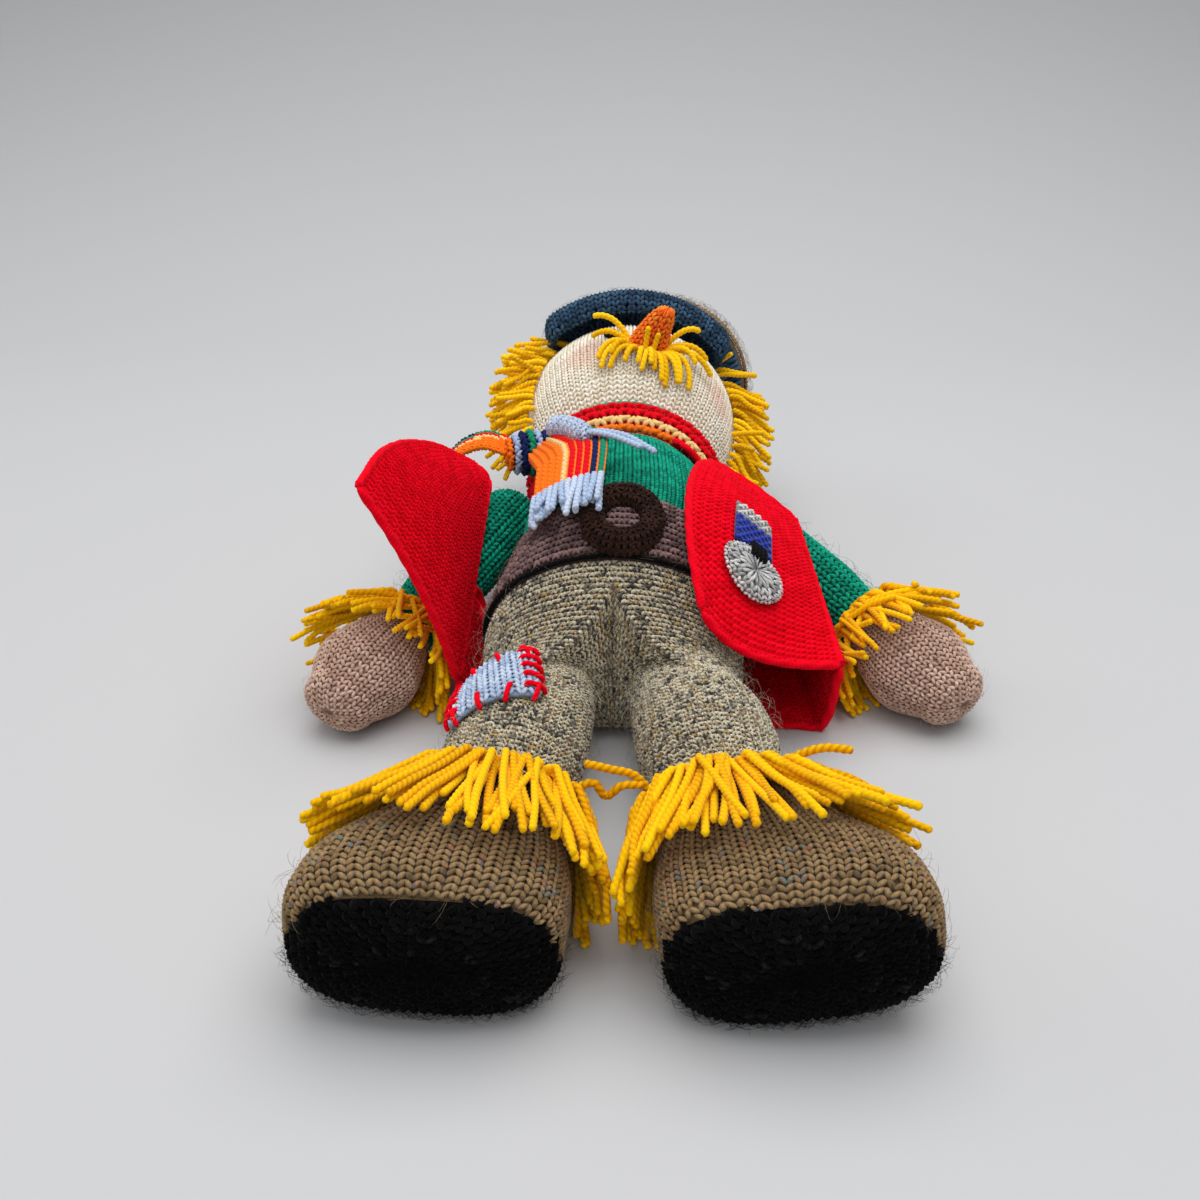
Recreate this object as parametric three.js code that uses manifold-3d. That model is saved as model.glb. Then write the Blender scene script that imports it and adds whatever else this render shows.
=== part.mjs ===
import * as THREE from 'three';
import ManifoldModule from 'manifold-3d';

// A stuffed, knitted scarecrow doll lying on its back, in millimetres.
// +Y runs from the feet to the head, +X is the doll's left and +Z is up.
// Until the last lines y = 0 is the crease at the hips and z = 0 is the floor.

const kernel = await ManifoldModule();
kernel.setup();

// Driving sizes
const KNIT = 2.6; // thickness of one layer of knitting
const GAP = 0.35; // clearance between two pieces that touch
const FLAT = 0.5; // depth to which a soft piece is flattened where it lies on the floor

const HIP_SPACING = 57; // between the leg centres at the hips
const HIP_SHIFT = -2.5; // the hips lie this far to one side of the neck
const LEG_RADIUS = 22.6; // at the hip
const KNEE_RADIUS = 24.9;
const LEG_LENGTH = 76; // hip crease to ankle
const ANKLE_RADIUS = 23.8;
const ANKLE_SPACING = 77;
const FOOT_LENGTH = 69; // ankle to the middle of the sole
const FOOT_SPACING = 106;
const FOOT_WIDTH = 80;
const FOOT_HEIGHT = 52;
const SOLE_BULGE = 16; // how far the padded toe end swells
const SOLE_TOP = 5; // how far the black knitting reaches back from the tip, at the top
const SOLE_FLOOR = 16; // the same at the floor
const LEFT_FOOT_ROLL = 10; // degrees by which each foot has flopped over
const RIGHT_FOOT_ROLL = 4;
const PATCH_WIDTH = 32; // patch on the right trouser leg
const PATCH_LENGTH = 34;
const PATCH_THICK = 2.2;
const PATCH_TURN = 14; // degrees the patch is sewn askew
const STITCH_RADIUS = 1.1; // cord of stitches round the patch

const TORSO_WIDTH = 86;
const TORSO_HEIGHT = 80;
const BELLY_Z = 47.2; // height of the torso's middle above the floor
const BELLY_Y = 40; // hips to where the belly is full
const WAIST_Y = 32; // hips to the middle of the belt
const BELT_WIDTH = 23;
const BELT_THICK = 3;
const BUCKLE_RADIUS = 9.8; // to the middle of the knitted ring
const BUCKLE_BAND = 4; // half the width of that ring
const BUCKLE_THICK = 6;
const NECK_Y = 152; // hips to neck
const NECK_Z = 47.5;

const ARM_RADIUS = 15.5;
const SHOULDER_DROP = 28; // neck to the shoulder joints
const SHOULDER_Y = NECK_Y - SHOULDER_DROP;
const SHOULDER_Z = 40;
const WRIST_REACH = 86; // shoulder to wrist
const WRIST_RADIUS = 13;
const HAND_REACH = 114; // shoulder to the middle of the hand
const HAND_WIDTH = 44;
const HAND_HEIGHT = 38;
const HAND_LENGTH = 48;
const LEFT_ARM_SPREAD = 35.5; // degrees out from straight down beside the body
const RIGHT_ARM_SPREAD = 24.5;

const HEAD_RADIUS = 55.3;
const HEAD_LENGTH = 119; // neck to the top of the head
const HEAD_TURN = 10; // degrees the face is turned to the doll's left
const NOSE_RADIUS = 9.5;
const NOSE_LENGTH = 22;
const EYE_RADIUS = 3.6;
const BRIM_RADIUS = 69.5; // at the peak over the face
const BRIM_DROOP = 28; // how far the peak comes down over the face
const BRIM_ROLL = 4.6; // width of the rolled brim beside and behind the head
const HAT_HEIGHT = 140; // neck to the top of the hat
const HAT_THICK = 3.2;
const HAT_BAND_WIDTH = 9;
const HAT_BAND_THICK = 2.4;

const STRAW = 3.6; // thickness of the cut yarn that makes the straw
const STRAW_BAND = 8; // width of the knotted row that holds each fringe
const ANKLE_STRAW = 34; // length of the fringes
const WRIST_STRAW = 27;
const HAIR = 23;
const WHISKER = 19;

const WAISTCOAT = 3.2; // thickness of the waistcoat
const SEAM = 0.45; // clearance on the fold lines where the fronts turn
const SIDE_TOP = 0.42; // share of a fold line that the side of the back reaches
const DISC_RADIUS = 12.5; // medal on the left front
const DISC_THICK = 4;
const RIBBON_WIDTH = 18;
const RIBBON_THICK = 2;
const SCARF = 3.4; // thickness of the scarf
const SCARF_WIDTH = 15;
const SCARF_END = 84; // length of the end that hangs in front
const FRINGE = 13;
const YARN = 1.7; // radius of the scarf's fringe yarn
const CURL = 4.2; // radius of the curled edge on the front end
const BACK_END_WIDTH = 21;
const COLLAR_SPREAD = 1.14; // the collar is wider than it is high

// Colours
const GREEN = 0x159a74;
const TWEED = 0x77705f;
const BROWN_TWEED = 0x86684c;
const BLACK = 0x15141a;
const STRAW_YELLOW = 0xf2c21c;
const HAIR_GOLD = 0xd9ab3c;
const SKIN = 0xc39a87;
const CREAM = 0xf3e6c8;
const RED = 0xc41226;
const MAUVE = 0x9c7f7e;
const DARK_BROWN = 0x3a2721;
const LIGHT_BLUE = 0xa9cbe4;
const ORANGE = 0xe8772a;
const TEAL = 0x1d4a5c;
const GREY = 0xb9b9b6;
const BLUE = 0x2a4fa8;
const FIBRE = 0xf4f3ee;

// Small helpers for points and solids
const UP = new THREE.Vector3(0, 0, 1);
const rad = THREE.MathUtils.degToRad;
const mix = THREE.MathUtils.lerp;
const spot = (x, y, z) => new THREE.Vector3(x, y, z);
const curve = (points) => new THREE.CatmullRomCurve3(points);
const wobble = (k) => Math.sin(k * 2.4) + 0.6 * Math.sin(k * 5.1 + 1);

// A closed surface given as points and triangles, turned to face outwards, as a solid
function solidFrom(points, faces) {
  let volume = 0;
  for (let k = 0; k < faces.length; k += 3) {
    const [a, b, c] = [points[faces[k]], points[faces[k + 1]], points[faces[k + 2]]];
    volume += a.dot(b.clone().cross(c));
  }
  const outward = volume > 0 ? faces : faces.slice().reverse();
  const mesh = new kernel.Mesh({
    numProp: 3,
    vertProperties: new Float32Array(points.flatMap((p) => [p.x, p.y, p.z])),
    triVerts: new Uint32Array(outward),
  });
  return new kernel.Manifold(mesh);
}

// The quads between one ring of points and the next
function bandFaces(count, here, next) {
  const faces = [];
  for (let k = 0; k < count; k += 1) {
    const after = (k + 1) % count;
    faces.push(here + k, here + after, next + after);
    faces.push(here + k, next + after, next + k);
  }
  return faces;
}

// A solid through a row of rings, closed by a point at each end
function loft(rings, first, last) {
  const count = rings[0].length;
  const points = [...rings.flat(), first, last];
  const faces = [];
  for (let ring = 0; ring + 1 < rings.length; ring += 1) {
    faces.push(...bandFaces(count, ring * count, (ring + 1) * count));
  }
  const end = (rings.length - 1) * count;
  for (let k = 0; k < count; k += 1) {
    const after = (k + 1) % count;
    faces.push(points.length - 2, after, k);
    faces.push(points.length - 1, end + k, end + after);
  }
  return solidFrom(points, faces);
}

// A solid through rings that run round in a loop
function hoop(rings) {
  const count = rings[0].length;
  const faces = rings.flatMap((ring, k) => bandFaces(count, k * count, ((k + 1) % rings.length) * count));
  return solidFrom(rings.flat(), faces);
}

// A sheet of even thickness on a surface place(u, v), thinner at its edges
function sheet(place, thick, rows, columns, edge = 0.35) {
  const width = columns + 1;
  const upper = [];
  const lower = [];
  for (let i = 0; i <= rows; i += 1) {
    for (let j = 0; j <= columns; j += 1) {
      const onEdge = i === 0 || j === 0 || i === rows || j === columns;
      const half = (onEdge ? thick * edge : thick) / 2;
      upper.push(place(i / rows, j / columns, half));
      lower.push(place(i / rows, j / columns, -half));
    }
  }
  const faces = [];
  const under = upper.length;
  for (let i = 0; i < rows; i += 1) {
    for (let j = 0; j < columns; j += 1) {
      const a = i * width + j;
      const [b, c, d] = [a + 1, a + width + 1, a + width];
      faces.push(a, b, c, a, c, d);
      faces.push(under + a, under + c, under + b, under + a, under + d, under + c);
    }
  }
  const rim = [];
  for (let j = 0; j < columns; j += 1) rim.push(j);
  for (let i = 0; i < rows; i += 1) rim.push(i * width + columns);
  for (let j = columns; j > 0; j -= 1) rim.push(rows * width + j);
  for (let i = rows; i > 0; i -= 1) rim.push(i * width);
  rim.forEach((here, k) => {
    const next = rim[(k + 1) % rim.length];
    faces.push(here, under + next, next, here, under + here, under + next);
  });
  return solidFrom([...upper, ...lower], faces);
}

// A surface point function that adds a height along the normal
function raised(surface) {
  const step = 0.01;
  return (u, v, height) => {
    const here = surface(u, v);
    const alongU = surface(u + step, v).sub(surface(u - step, v));
    const alongV = surface(u, v + step).sub(surface(u, v - step));
    return here.addScaledVector(alongU.cross(alongV).normalize(), height);
  };
}

// A point on a curve, which runs on straight past both of its ends
function follow(line, t) {
  const inside = THREE.MathUtils.clamp(t, 0, 1);
  return line.getPoint(inside).addScaledVector(line.getTangent(inside), (t - inside) * line.getLength());
}

// A three-sided length of yarn through a few points
function strand(points, radius, steps = 2) {
  const line = curve(points);
  const rings = [];
  for (let k = 0; k <= steps; k += 1) {
    const centre = line.getPoint(k / steps);
    const along = line.getTangent(k / steps);
    const lean = Math.abs(along.z) > 0.9 ? spot(1, 0, 0) : UP;
    const side = along.clone().cross(lean).normalize();
    const top = side.clone().cross(along);
    const corners = [[0, 1], [-0.87, -0.5], [0.87, -0.5]];
    const corner = ([a, b]) => side.clone().multiplyScalar(a).addScaledVector(top, b);
    rings.push(corners.map((c) => corner(c).multiplyScalar(radius).add(centre)));
  }
  return loft(rings, line.getPoint(0), line.getPoint(1));
}

const join = (solids) => kernel.Manifold.union(solids);
const above = (solid, low) => solid.trimByPlane([0, 1, 0], low);
const below = (solid, high) => solid.trimByPlane([0, -1, 0], -high);
const between = (solid, low, high) => below(above(solid, low), high);

// A stuffed form: upright oval sections along a curve that runs towards the head
class Form {
  constructor(stations, { startDome = 0, endDome = 0, around = 18, along = 12 } = {}) {
    this.path = curve(stations.map((s) => spot(...s.at)));
    this.sizes = curve(stations.map((s) => spot(s.wide, s.high, rad(s.roll ?? 0))));
    Object.assign(this, { startDome, endDome, around, along });
  }

  point(t, angle, grow = 0, scale = 1) {
    const size = this.sizes.getPoint(t);
    const [a, b] = [scale * (size.x + grow) * Math.sin(angle), scale * (size.y + grow) * Math.cos(angle)];
    const [c, s] = [Math.cos(size.z), Math.sin(size.z)];
    return this.path.getPoint(t).add(spot(a * c - b * s, 0, a * s + b * c));
  }

  at(y) {
    let [low, high] = [0, 1];
    for (let k = 0; k < 30; k += 1) {
      const middle = (low + high) / 2;
      if (this.path.getPoint(middle).y < y) low = middle;
      else high = middle;
    }
    return low;
  }

  pointAt(y, angle, grow = 0) {
    return this.point(this.at(y), angle, grow);
  }

  // The closed form, grown or shrunk; hidden inner faces are made with fewer points
  solid(grow = 0) {
    const around = grow < 0 ? this.around - 4 : this.around;
    const ring = (t, scale = 1, shift = 0) => Array.from({ length: around }, (_, k) => (
      this.point(t, (2 * Math.PI * k) / around, grow, scale).add(spot(0, shift, 0))
    ));
    const rings = [];
    const steps = 2;
    const round = (k) => Math.sin((k / (steps + 1)) * Math.PI / 2) ** 0.8;
    const shrink = (k) => Math.cos((k / (steps + 1)) * Math.PI / 2) ** 0.8;
    for (let k = steps; this.startDome && k > 0; k -= 1) {
      rings.push(ring(0, shrink(k), -round(k) * (this.startDome + grow)));
    }
    for (let k = 0; k <= this.along; k += 1) rings.push(ring(k / this.along));
    for (let k = 1; this.endDome && k <= steps; k += 1) {
      rings.push(ring(1, shrink(k), round(k) * (this.endDome + grow)));
    }
    const startReach = this.startDome ? this.startDome + grow : 0;
    const endReach = this.endDome ? this.endDome + grow : 0;
    const first = this.path.getPoint(0).add(spot(0, -startReach, 0));
    const last = this.path.getPoint(1).add(spot(0, endReach, 0));
    return loft(rings, first, last);
  }

  skin() {
    return this.solid().subtract(this.solid(-KNIT));
  }

  filling() {
    return this.solid(-KNIT - GAP);
  }
}

// A cut-yarn fringe tied round a form, its strands running towards the hand or the foot
function strawFringe(form, y, length, angles, flare, lowest) {
  const profile = [[-0.5, 0], [-0.5, 1], [0.5, 1], [0.5, 0]];
  const band = hoop(Array.from({ length: form.around }, (_, k) => profile.map(([along, height]) => (
    form.pointAt(y + along * STRAW_BAND, (2 * Math.PI * k) / form.around, GAP + height * STRAW)
  ))));
  const strands = angles.map((degrees, k) => {
    const angle = rad(degrees);
    const reach = length * (0.9 + 0.1 * wobble(k));
    const spread = flare * (1 + 0.25 * wobble(k + 7));
    const root = form.pointAt(y, angle, GAP + STRAW / 2);
    const sway = wobble(k + 3);
    const bend = form.pointAt(y - reach * 0.45, angle + 0.05 * sway, GAP + STRAW + spread * 0.5);
    const tip = form.pointAt(y - reach, angle + 0.12 * sway, GAP + STRAW + spread);
    for (const p of [bend, tip]) p.z = Math.max(p.z, lowest);
    return strand([root, bend, tip], STRAW / 2);
  });
  return join([band, ...strands]).subtract(form.solid(GAP));
}

// Evenly spaced values from the first to the last
function fan(count, first, last) {
  return Array.from({ length: count }, (_, k) => mix(first, last, k / (count - 1)));
}

function piece(name, solid, colour, roughness = 0.95) {
  const mesh = solid.getMesh();
  const geometry = new THREE.BufferGeometry();
  geometry.setAttribute('position', new THREE.BufferAttribute(mesh.vertProperties, 3));
  geometry.setIndex(new THREE.BufferAttribute(mesh.triVerts, 1));
  const result = new THREE.Mesh(geometry, new THREE.MeshStandardMaterial({ color: colour, roughness }));
  result.name = name;
  return result;
}

function bodyGroup(name, position = [0, 0, 0], rotation = [0, 0, 0]) {
  const group = new THREE.Group();
  group.name = name;
  group.position.set(...position);
  group.rotation.set(...rotation, 'ZXY');
  return group;
}

// Cuts a solid flat on the floor, given in the coordinates of its group
function onFloor(solid, group) {
  const normal = UP.clone().applyQuaternion(group.quaternion.clone().invert());
  return solid.trimByPlane(normal.toArray(), -group.position.z);
}

// Trunk: the jumper and the trouser seat share one form, open at the hips and the neck
const trunk = bodyGroup('trunk');
const torsoWide = TORSO_WIDTH / 2;
const torsoHigh = TORSO_HEIGHT / 2;
const chestTop = BELLY_Z + torsoHigh;
const body = new Form([
  { at: [HIP_SHIFT, -8, LEG_RADIUS - FLAT], wide: HIP_SPACING / 2 + LEG_RADIUS, high: LEG_RADIUS },
  { at: [HIP_SHIFT, BELLY_Y * 0.4, BELLY_Z * 0.78], wide: torsoWide + 6.5, high: torsoHigh * 0.795 },
  { at: [HIP_SHIFT / 2, BELLY_Y * 0.95, BELLY_Z - 1.2], wide: torsoWide - 0.4, high: torsoHigh - 1.8 },
  { at: [0, BELLY_Y + 22, BELLY_Z], wide: torsoWide, high: torsoHigh },
  { at: [0, NECK_Y * 0.64, BELLY_Z], wide: torsoWide - 0.4, high: torsoHigh - 0.4 },
  { at: [0, NECK_Y - 26, NECK_Z], wide: torsoWide * 0.92, high: torsoHigh * 0.92 },
  { at: [0, NECK_Y - 10, NECK_Z], wide: torsoWide * 0.745, high: torsoHigh * 0.76 },
  { at: [0, NECK_Y - 3, NECK_Z], wide: torsoWide * 0.55, high: torsoHigh * 0.57 },
  { at: [0, NECK_Y + 4, NECK_Z], wide: torsoWide * 0.35, high: torsoHigh * 0.37 },
], { around: 18, along: 8 });
const bodyPart = (grow, low) => onFloor(between(body.solid(grow), low, NECK_Y - GAP / 2), trunk);
const bodySkin = bodyPart(0, GAP / 2).subtract(between(body.solid(-KNIT), GAP / 2 + KNIT, NECK_Y));
const jumper = between(bodySkin, WAIST_Y + GAP / 2, NECK_Y);
const seat = between(bodySkin, 0, WAIST_Y - GAP / 2);
trunk.add(piece('jumper_body', jumper, GREEN));
trunk.add(piece('trouser_seat', seat, TWEED));
trunk.add(piece('body_stuffing', bodyPart(-KNIT - GAP, GAP / 2 + KNIT + GAP), FIBRE));

// Belt and its knitted ring buckle
const beltRing = body.solid(GAP + BELT_THICK).subtract(body.solid(GAP));
const belt = between(beltRing, WAIST_Y - BELT_WIDTH / 2, WAIST_Y + BELT_WIDTH / 2);
trunk.add(piece('waist_belt', belt, MAUVE));

const buckleBase = GAP + BELT_THICK + GAP;
const onBelt = (x, y, height) => body.pointAt(WAIST_Y - 2 + y, (x + 2) / torsoWide, buckleBase + height);
const buckleRings = Array.from({ length: 18 }, (_, k) => {
  const turn = (2 * Math.PI * k) / 18;
  const profile = [[-1, 0], [-0.75, 0.75], [0, 1], [0.75, 0.75], [1, 0]];
  return profile.map(([across, height]) => {
    const radius = BUCKLE_RADIUS + across * BUCKLE_BAND;
    return onBelt(radius * Math.cos(turn), radius * 0.92 * Math.sin(turn), height * BUCKLE_THICK + GAP);
  });
});
trunk.add(piece('belt_buckle', hoop(buckleRings), DARK_BROWN));

// Legs: trouser leg, boot and sole are one stuffed form, cut where the knitting changes
function makeLeg(label, side, roll) {
  const group = bodyGroup(`${label}_leg`);
  const hipX = HIP_SHIFT + (side * HIP_SPACING) / 2;
  const ankleX = HIP_SHIFT * 0.4 + (side * ANKLE_SPACING) / 2;
  const footX = (side * FOOT_SPACING) / 2;
  const tilt = side * roll;
  const lie = (wide, high, degrees) => {
    const turn = rad(degrees);
    return Math.hypot(wide * Math.sin(turn), high * Math.cos(turn)) - FLAT;
  };
  const station = (x, y, wide, high, degrees) => ({
    at: [x, y, lie(wide, high, degrees)], wide, high, roll: degrees,
  });
  const soleTip = -LEG_LENGTH - FOOT_LENGTH;
  const footWide = FOOT_WIDTH / 2;
  const footHigh = FOOT_HEIGHT / 2;
  const instepWide = mix(footWide, ANKLE_RADIUS, 0.5);
  const form = new Form([
    station(footX, soleTip + SOLE_BULGE, footWide, footHigh, tilt),
    station(mix(footX, ankleX, 0.12), soleTip + SOLE_BULGE + 12, footWide * 0.98, footHigh, tilt),
    station(mix(footX, ankleX, 0.5), -LEG_LENGTH - FOOT_LENGTH * 0.35, instepWide, footHigh * 0.96, tilt / 2),
    station(ankleX, -LEG_LENGTH, ANKLE_RADIUS, ANKLE_RADIUS, 0),
    station(mix(ankleX, hipX, 0.5), -LEG_LENGTH / 2, KNEE_RADIUS, KNEE_RADIUS, 0),
    station(hipX, 8, LEG_RADIUS, LEG_RADIUS, 0),
  ], { startDome: SOLE_BULGE, around: 14, along: 10 });

  const skin = onFloor(form.skin(), group);
  const soleCut = spot(0, FOOT_HEIGHT * 0.85, SOLE_FLOOR - SOLE_TOP).normalize();
  const soleAt = soleCut.y * (soleTip + SOLE_FLOOR);
  const fringe = strawFringe(form, -LEG_LENGTH, ANKLE_STRAW, fan(11, -112, 112), 8, STRAW);
  const parts = {
    trouser_leg: [between(skin, -LEG_LENGTH + GAP / 2, -GAP / 2), TWEED],
    boot: [below(skin, -LEG_LENGTH - GAP / 2).trimByPlane(soleCut.toArray(), soleAt + GAP / 2), BROWN_TWEED],
    sole: [skin.trimByPlane(soleCut.clone().negate().toArray(), GAP / 2 - soleAt), BLACK],
    leg_stuffing: [onFloor(below(form.filling(), -GAP / 2), group), FIBRE],
    ankle_straw: [onFloor(fringe, group), STRAW_YELLOW],
  };
  for (const [name, [solid, colour]] of Object.entries(parts)) {
    group.add(piece(`${label}_${name}`, solid, colour));
  }
  return { group, form };
}
const rightLeg = makeLeg('right', -1, RIGHT_FOOT_ROLL);
const leftLeg = makeLeg('left', 1, LEFT_FOOT_ROLL);

// Knee patch, sewn on the right trouser leg a little askew, and the cord of stitches round it
const patchTurn = rad(PATCH_TURN);
const onKnee = (u, v, height) => {
  const [a, b] = [(u - 0.5) * PATCH_LENGTH, (v - 0.5) * PATCH_WIDTH];
  const along = a * Math.cos(patchTurn) + b * Math.sin(patchTurn);
  const round = b * Math.cos(patchTurn) - a * Math.sin(patchTurn);
  const angle = rad(-24) + round / KNEE_RADIUS;
  return rightLeg.form.pointAt(-LEG_LENGTH * 0.39 + along, angle, GAP + PATCH_THICK / 2 + height);
};
const patch = sheet(onKnee, PATCH_THICK, 4, 6, 0.8);
rightLeg.group.add(piece('knee_patch', patch, LIGHT_BLUE));

const cordCorners = [[0, 0], [0, 0.33], [0, 0.67], [0, 1], [0.33, 1], [0.67, 1], [1, 1], [1, 0.67], [1, 0.33],
  [1, 0], [0.67, 0], [0.33, 0]];
const cordRings = cordCorners.map(([u, v]) => {
  const grow = (w, size) => (w === 0 ? -1 : w === 1 ? 1 : 0) * ((STITCH_RADIUS + GAP) / size);
  const [middleU, middleV] = [u + grow(u, PATCH_LENGTH), v + grow(v, PATCH_WIDTH)];
  const outU = middleU + grow(u, PATCH_LENGTH);
  const outV = middleV + grow(v, PATCH_WIDTH);
  const height = STITCH_RADIUS - PATCH_THICK / 2;
  return [
    onKnee(u + grow(u, PATCH_LENGTH) * 0.3, v + grow(v, PATCH_WIDTH) * 0.3, height),
    onKnee(middleU, middleV, height + STITCH_RADIUS),
    onKnee(outU, outV, height),
    onKnee(middleU, middleV, GAP - PATCH_THICK / 2),
  ];
});
rightLeg.group.add(piece('patch_stitching', hoop(cordRings), RED));

// Arms: sleeve and hand are one stuffed form that hangs on the shoulder
function makeArm(label, side, spread) {
  const drop = Math.asin((SHOULDER_Z - HAND_HEIGHT / 2 + FLAT) / HAND_REACH);
  const shoulderX = side * (torsoWide * 0.93 + ARM_RADIUS + GAP);
  const group = bodyGroup(`${label}_arm`, [shoulderX, SHOULDER_Y, SHOULDER_Z], [drop, 0, side * rad(spread)]);
  const palm = HAND_LENGTH / 2;
  const form = new Form([
    { at: [0, -HAND_REACH - palm * 0.6, 0], wide: HAND_WIDTH * 0.36, high: HAND_HEIGHT * 0.36 },
    { at: [0, -HAND_REACH, 0], wide: HAND_WIDTH / 2, high: HAND_HEIGHT / 2 },
    { at: [0, -mix(HAND_REACH, WRIST_REACH, 0.5), 0], wide: HAND_WIDTH * 0.43, high: HAND_HEIGHT * 0.45 },
    { at: [0, -WRIST_REACH, 0], wide: WRIST_RADIUS, high: WRIST_RADIUS },
    { at: [0, -WRIST_REACH * 0.65, 0], wide: ARM_RADIUS * 0.96, high: ARM_RADIUS * 0.96 },
    { at: [0, -WRIST_REACH * 0.3, 0], wide: ARM_RADIUS, high: ARM_RADIUS },
    { at: [0, 0, 0], wide: ARM_RADIUS, high: ARM_RADIUS },
  ], { startDome: palm * 0.4, endDome: ARM_RADIUS, around: 12, along: 6 });
  const skin = onFloor(form.skin(), group);
  const fringe = strawFringe(form, -WRIST_REACH, WRIST_STRAW, fan(9, -110, 110), 6, -SHOULDER_Z / 2);
  const parts = {
    sleeve: [above(skin, -WRIST_REACH + GAP / 2), GREEN],
    hand: [below(skin, -WRIST_REACH - GAP / 2), SKIN],
    arm_stuffing: [onFloor(form.filling(), group), FIBRE],
    wrist_straw: [fringe, STRAW_YELLOW],
  };
  for (const [name, [solid, colour]] of Object.entries(parts)) {
    group.add(piece(`${label}_${name}`, solid, colour));
  }
  return group;
}
const rightArm = makeArm('right', -1, RIGHT_ARM_SPREAD);
const leftArm = makeArm('left', 1, LEFT_ARM_SPREAD);

// Head, in coordinates from the neck, turned a little to one side
const headGroup = bodyGroup('head', [0, NECK_Y, NECK_Z], [0, rad(HEAD_TURN), 0]);
const headLift = HEAD_RADIUS - FLAT - NECK_Z;
const headStation = (along, radius, lift) => ({
  at: [0, along * HEAD_LENGTH, lift * headLift], wide: radius * HEAD_RADIUS, high: radius * HEAD_RADIUS,
});
const head = new Form([
  headStation(-0.03, 0.25, 0),
  headStation(0.013, 0.44, 0),
  headStation(0.06, 0.635, 0),
  headStation(0.12, 0.78, 0.2),
  headStation(0.2, 0.885, 0.5),
  headStation(0.34, 0.965, 0.82),
  headStation(0.52, 1, 1),
  headStation(0.69, 0.93, 1),
  headStation(0.82, 0.785, 1),
  headStation(0.92, 0.56, 1),
  headStation(0.97, 0.36, 1),
], { endDome: HEAD_LENGTH * 0.03, around: 18, along: 10 });
const headSolid = (grow) => above(onFloor(head.solid(grow), headGroup), GAP / 2);
const face = headSolid(0).subtract(head.solid(-KNIT));
headGroup.add(piece('head_knit', face, CREAM));
headGroup.add(piece('head_stuffing', headSolid(-KNIT - GAP), FIBRE));

// Carrot nose, hollow and stuffed, standing on the face
const noseY = HEAD_LENGTH * 0.36;
const noseProfile = (grow) => [
  new THREE.Vector2(0, -8),
  new THREE.Vector2(NOSE_RADIUS + grow, -8),
  new THREE.Vector2(NOSE_RADIUS + grow, 2),
  new THREE.Vector2(NOSE_RADIUS * 0.72 + grow, NOSE_LENGTH * 0.5),
  new THREE.Vector2(NOSE_RADIUS * 0.42 + grow, NOSE_LENGTH * 0.86 + grow),
  new THREE.Vector2(0, NOSE_LENGTH + grow),
];
const noseBase = head.pointAt(noseY, 0, GAP);
function turned(profile, segments) {
  const rings = profile.slice(1, -1).map((p) => Array.from({ length: segments }, (_, k) => {
    const angle = (2 * Math.PI * k) / segments;
    return spot(p.x * Math.cos(angle), p.x * Math.sin(angle), p.y);
  }));
  return loft(rings, spot(0, 0, profile[0].y), spot(0, 0, profile[profile.length - 1].y));
}
const noseSolid = (grow) => turned(noseProfile(grow), 14).translate(noseBase.toArray());
const clearOfHead = (solid) => solid.subtract(head.solid(GAP));
headGroup.add(piece('carrot_nose', clearOfHead(noseSolid(0).subtract(noseSolid(-KNIT))), ORANGE));
headGroup.add(piece('nose_stuffing', clearOfHead(noseSolid(-KNIT - GAP)), FIBRE));

// Stitched eyes beside the nose
for (const [label, side] of [['right', -1], ['left', 1]]) {
  const centre = head.pointAt(noseY + 11, side * rad(15), GAP);
  const profile = [new THREE.Vector2(0, -EYE_RADIUS), new THREE.Vector2(EYE_RADIUS * 0.87, -EYE_RADIUS / 2),
    new THREE.Vector2(EYE_RADIUS, 0), new THREE.Vector2(EYE_RADIUS * 0.8, EYE_RADIUS * 0.45),
    new THREE.Vector2(0, EYE_RADIUS * 0.75)];
  const eye = turned(profile, 10).rotate([0, side * 15, 0]).translate(centre.toArray());
  headGroup.add(piece(`${label}_eye`, clearOfHead(eye), BLACK));
}

// A row of yarn knotted along the head, with its strands standing out
function headFringe(row, strands, radius) {
  const steps = 6;
  const rootAt = (t, height) => head.pointAt(row(t).y, row(t).angle, GAP + height);
  const rings = [];
  for (let k = 0; k <= steps; k += 1) {
    const t = k / steps;
    const [before, after] = [Math.max(t - 0.05, 0), Math.min(t + 0.05, 1)];
    const along = rootAt(after, radius).sub(rootAt(before, radius)).normalize();
    const out = rootAt(t, radius + 1).sub(rootAt(t, radius)).normalize();
    const side = along.clone().cross(out);
    const centre = rootAt(t, radius * 1.1);
    const corners = [[1.2, -0.8], [1.2, 0.8], [-1.2, 0.8], [-1.2, -0.8]];
    const corner = ([a, b]) => side.clone().multiplyScalar(a).addScaledVector(out, b);
    rings.push(corners.map((c) => corner(c).multiplyScalar(radius).add(centre)));
  }
  const middleOf = (ring) => ring[0].clone().lerp(ring[2], 0.5);
  const bar = loft(rings, middleOf(rings[0]), middleOf(rings[steps]));
  return clearOfHead(join([bar, ...strands.map((points) => strand(points, radius))]));
}

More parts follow.
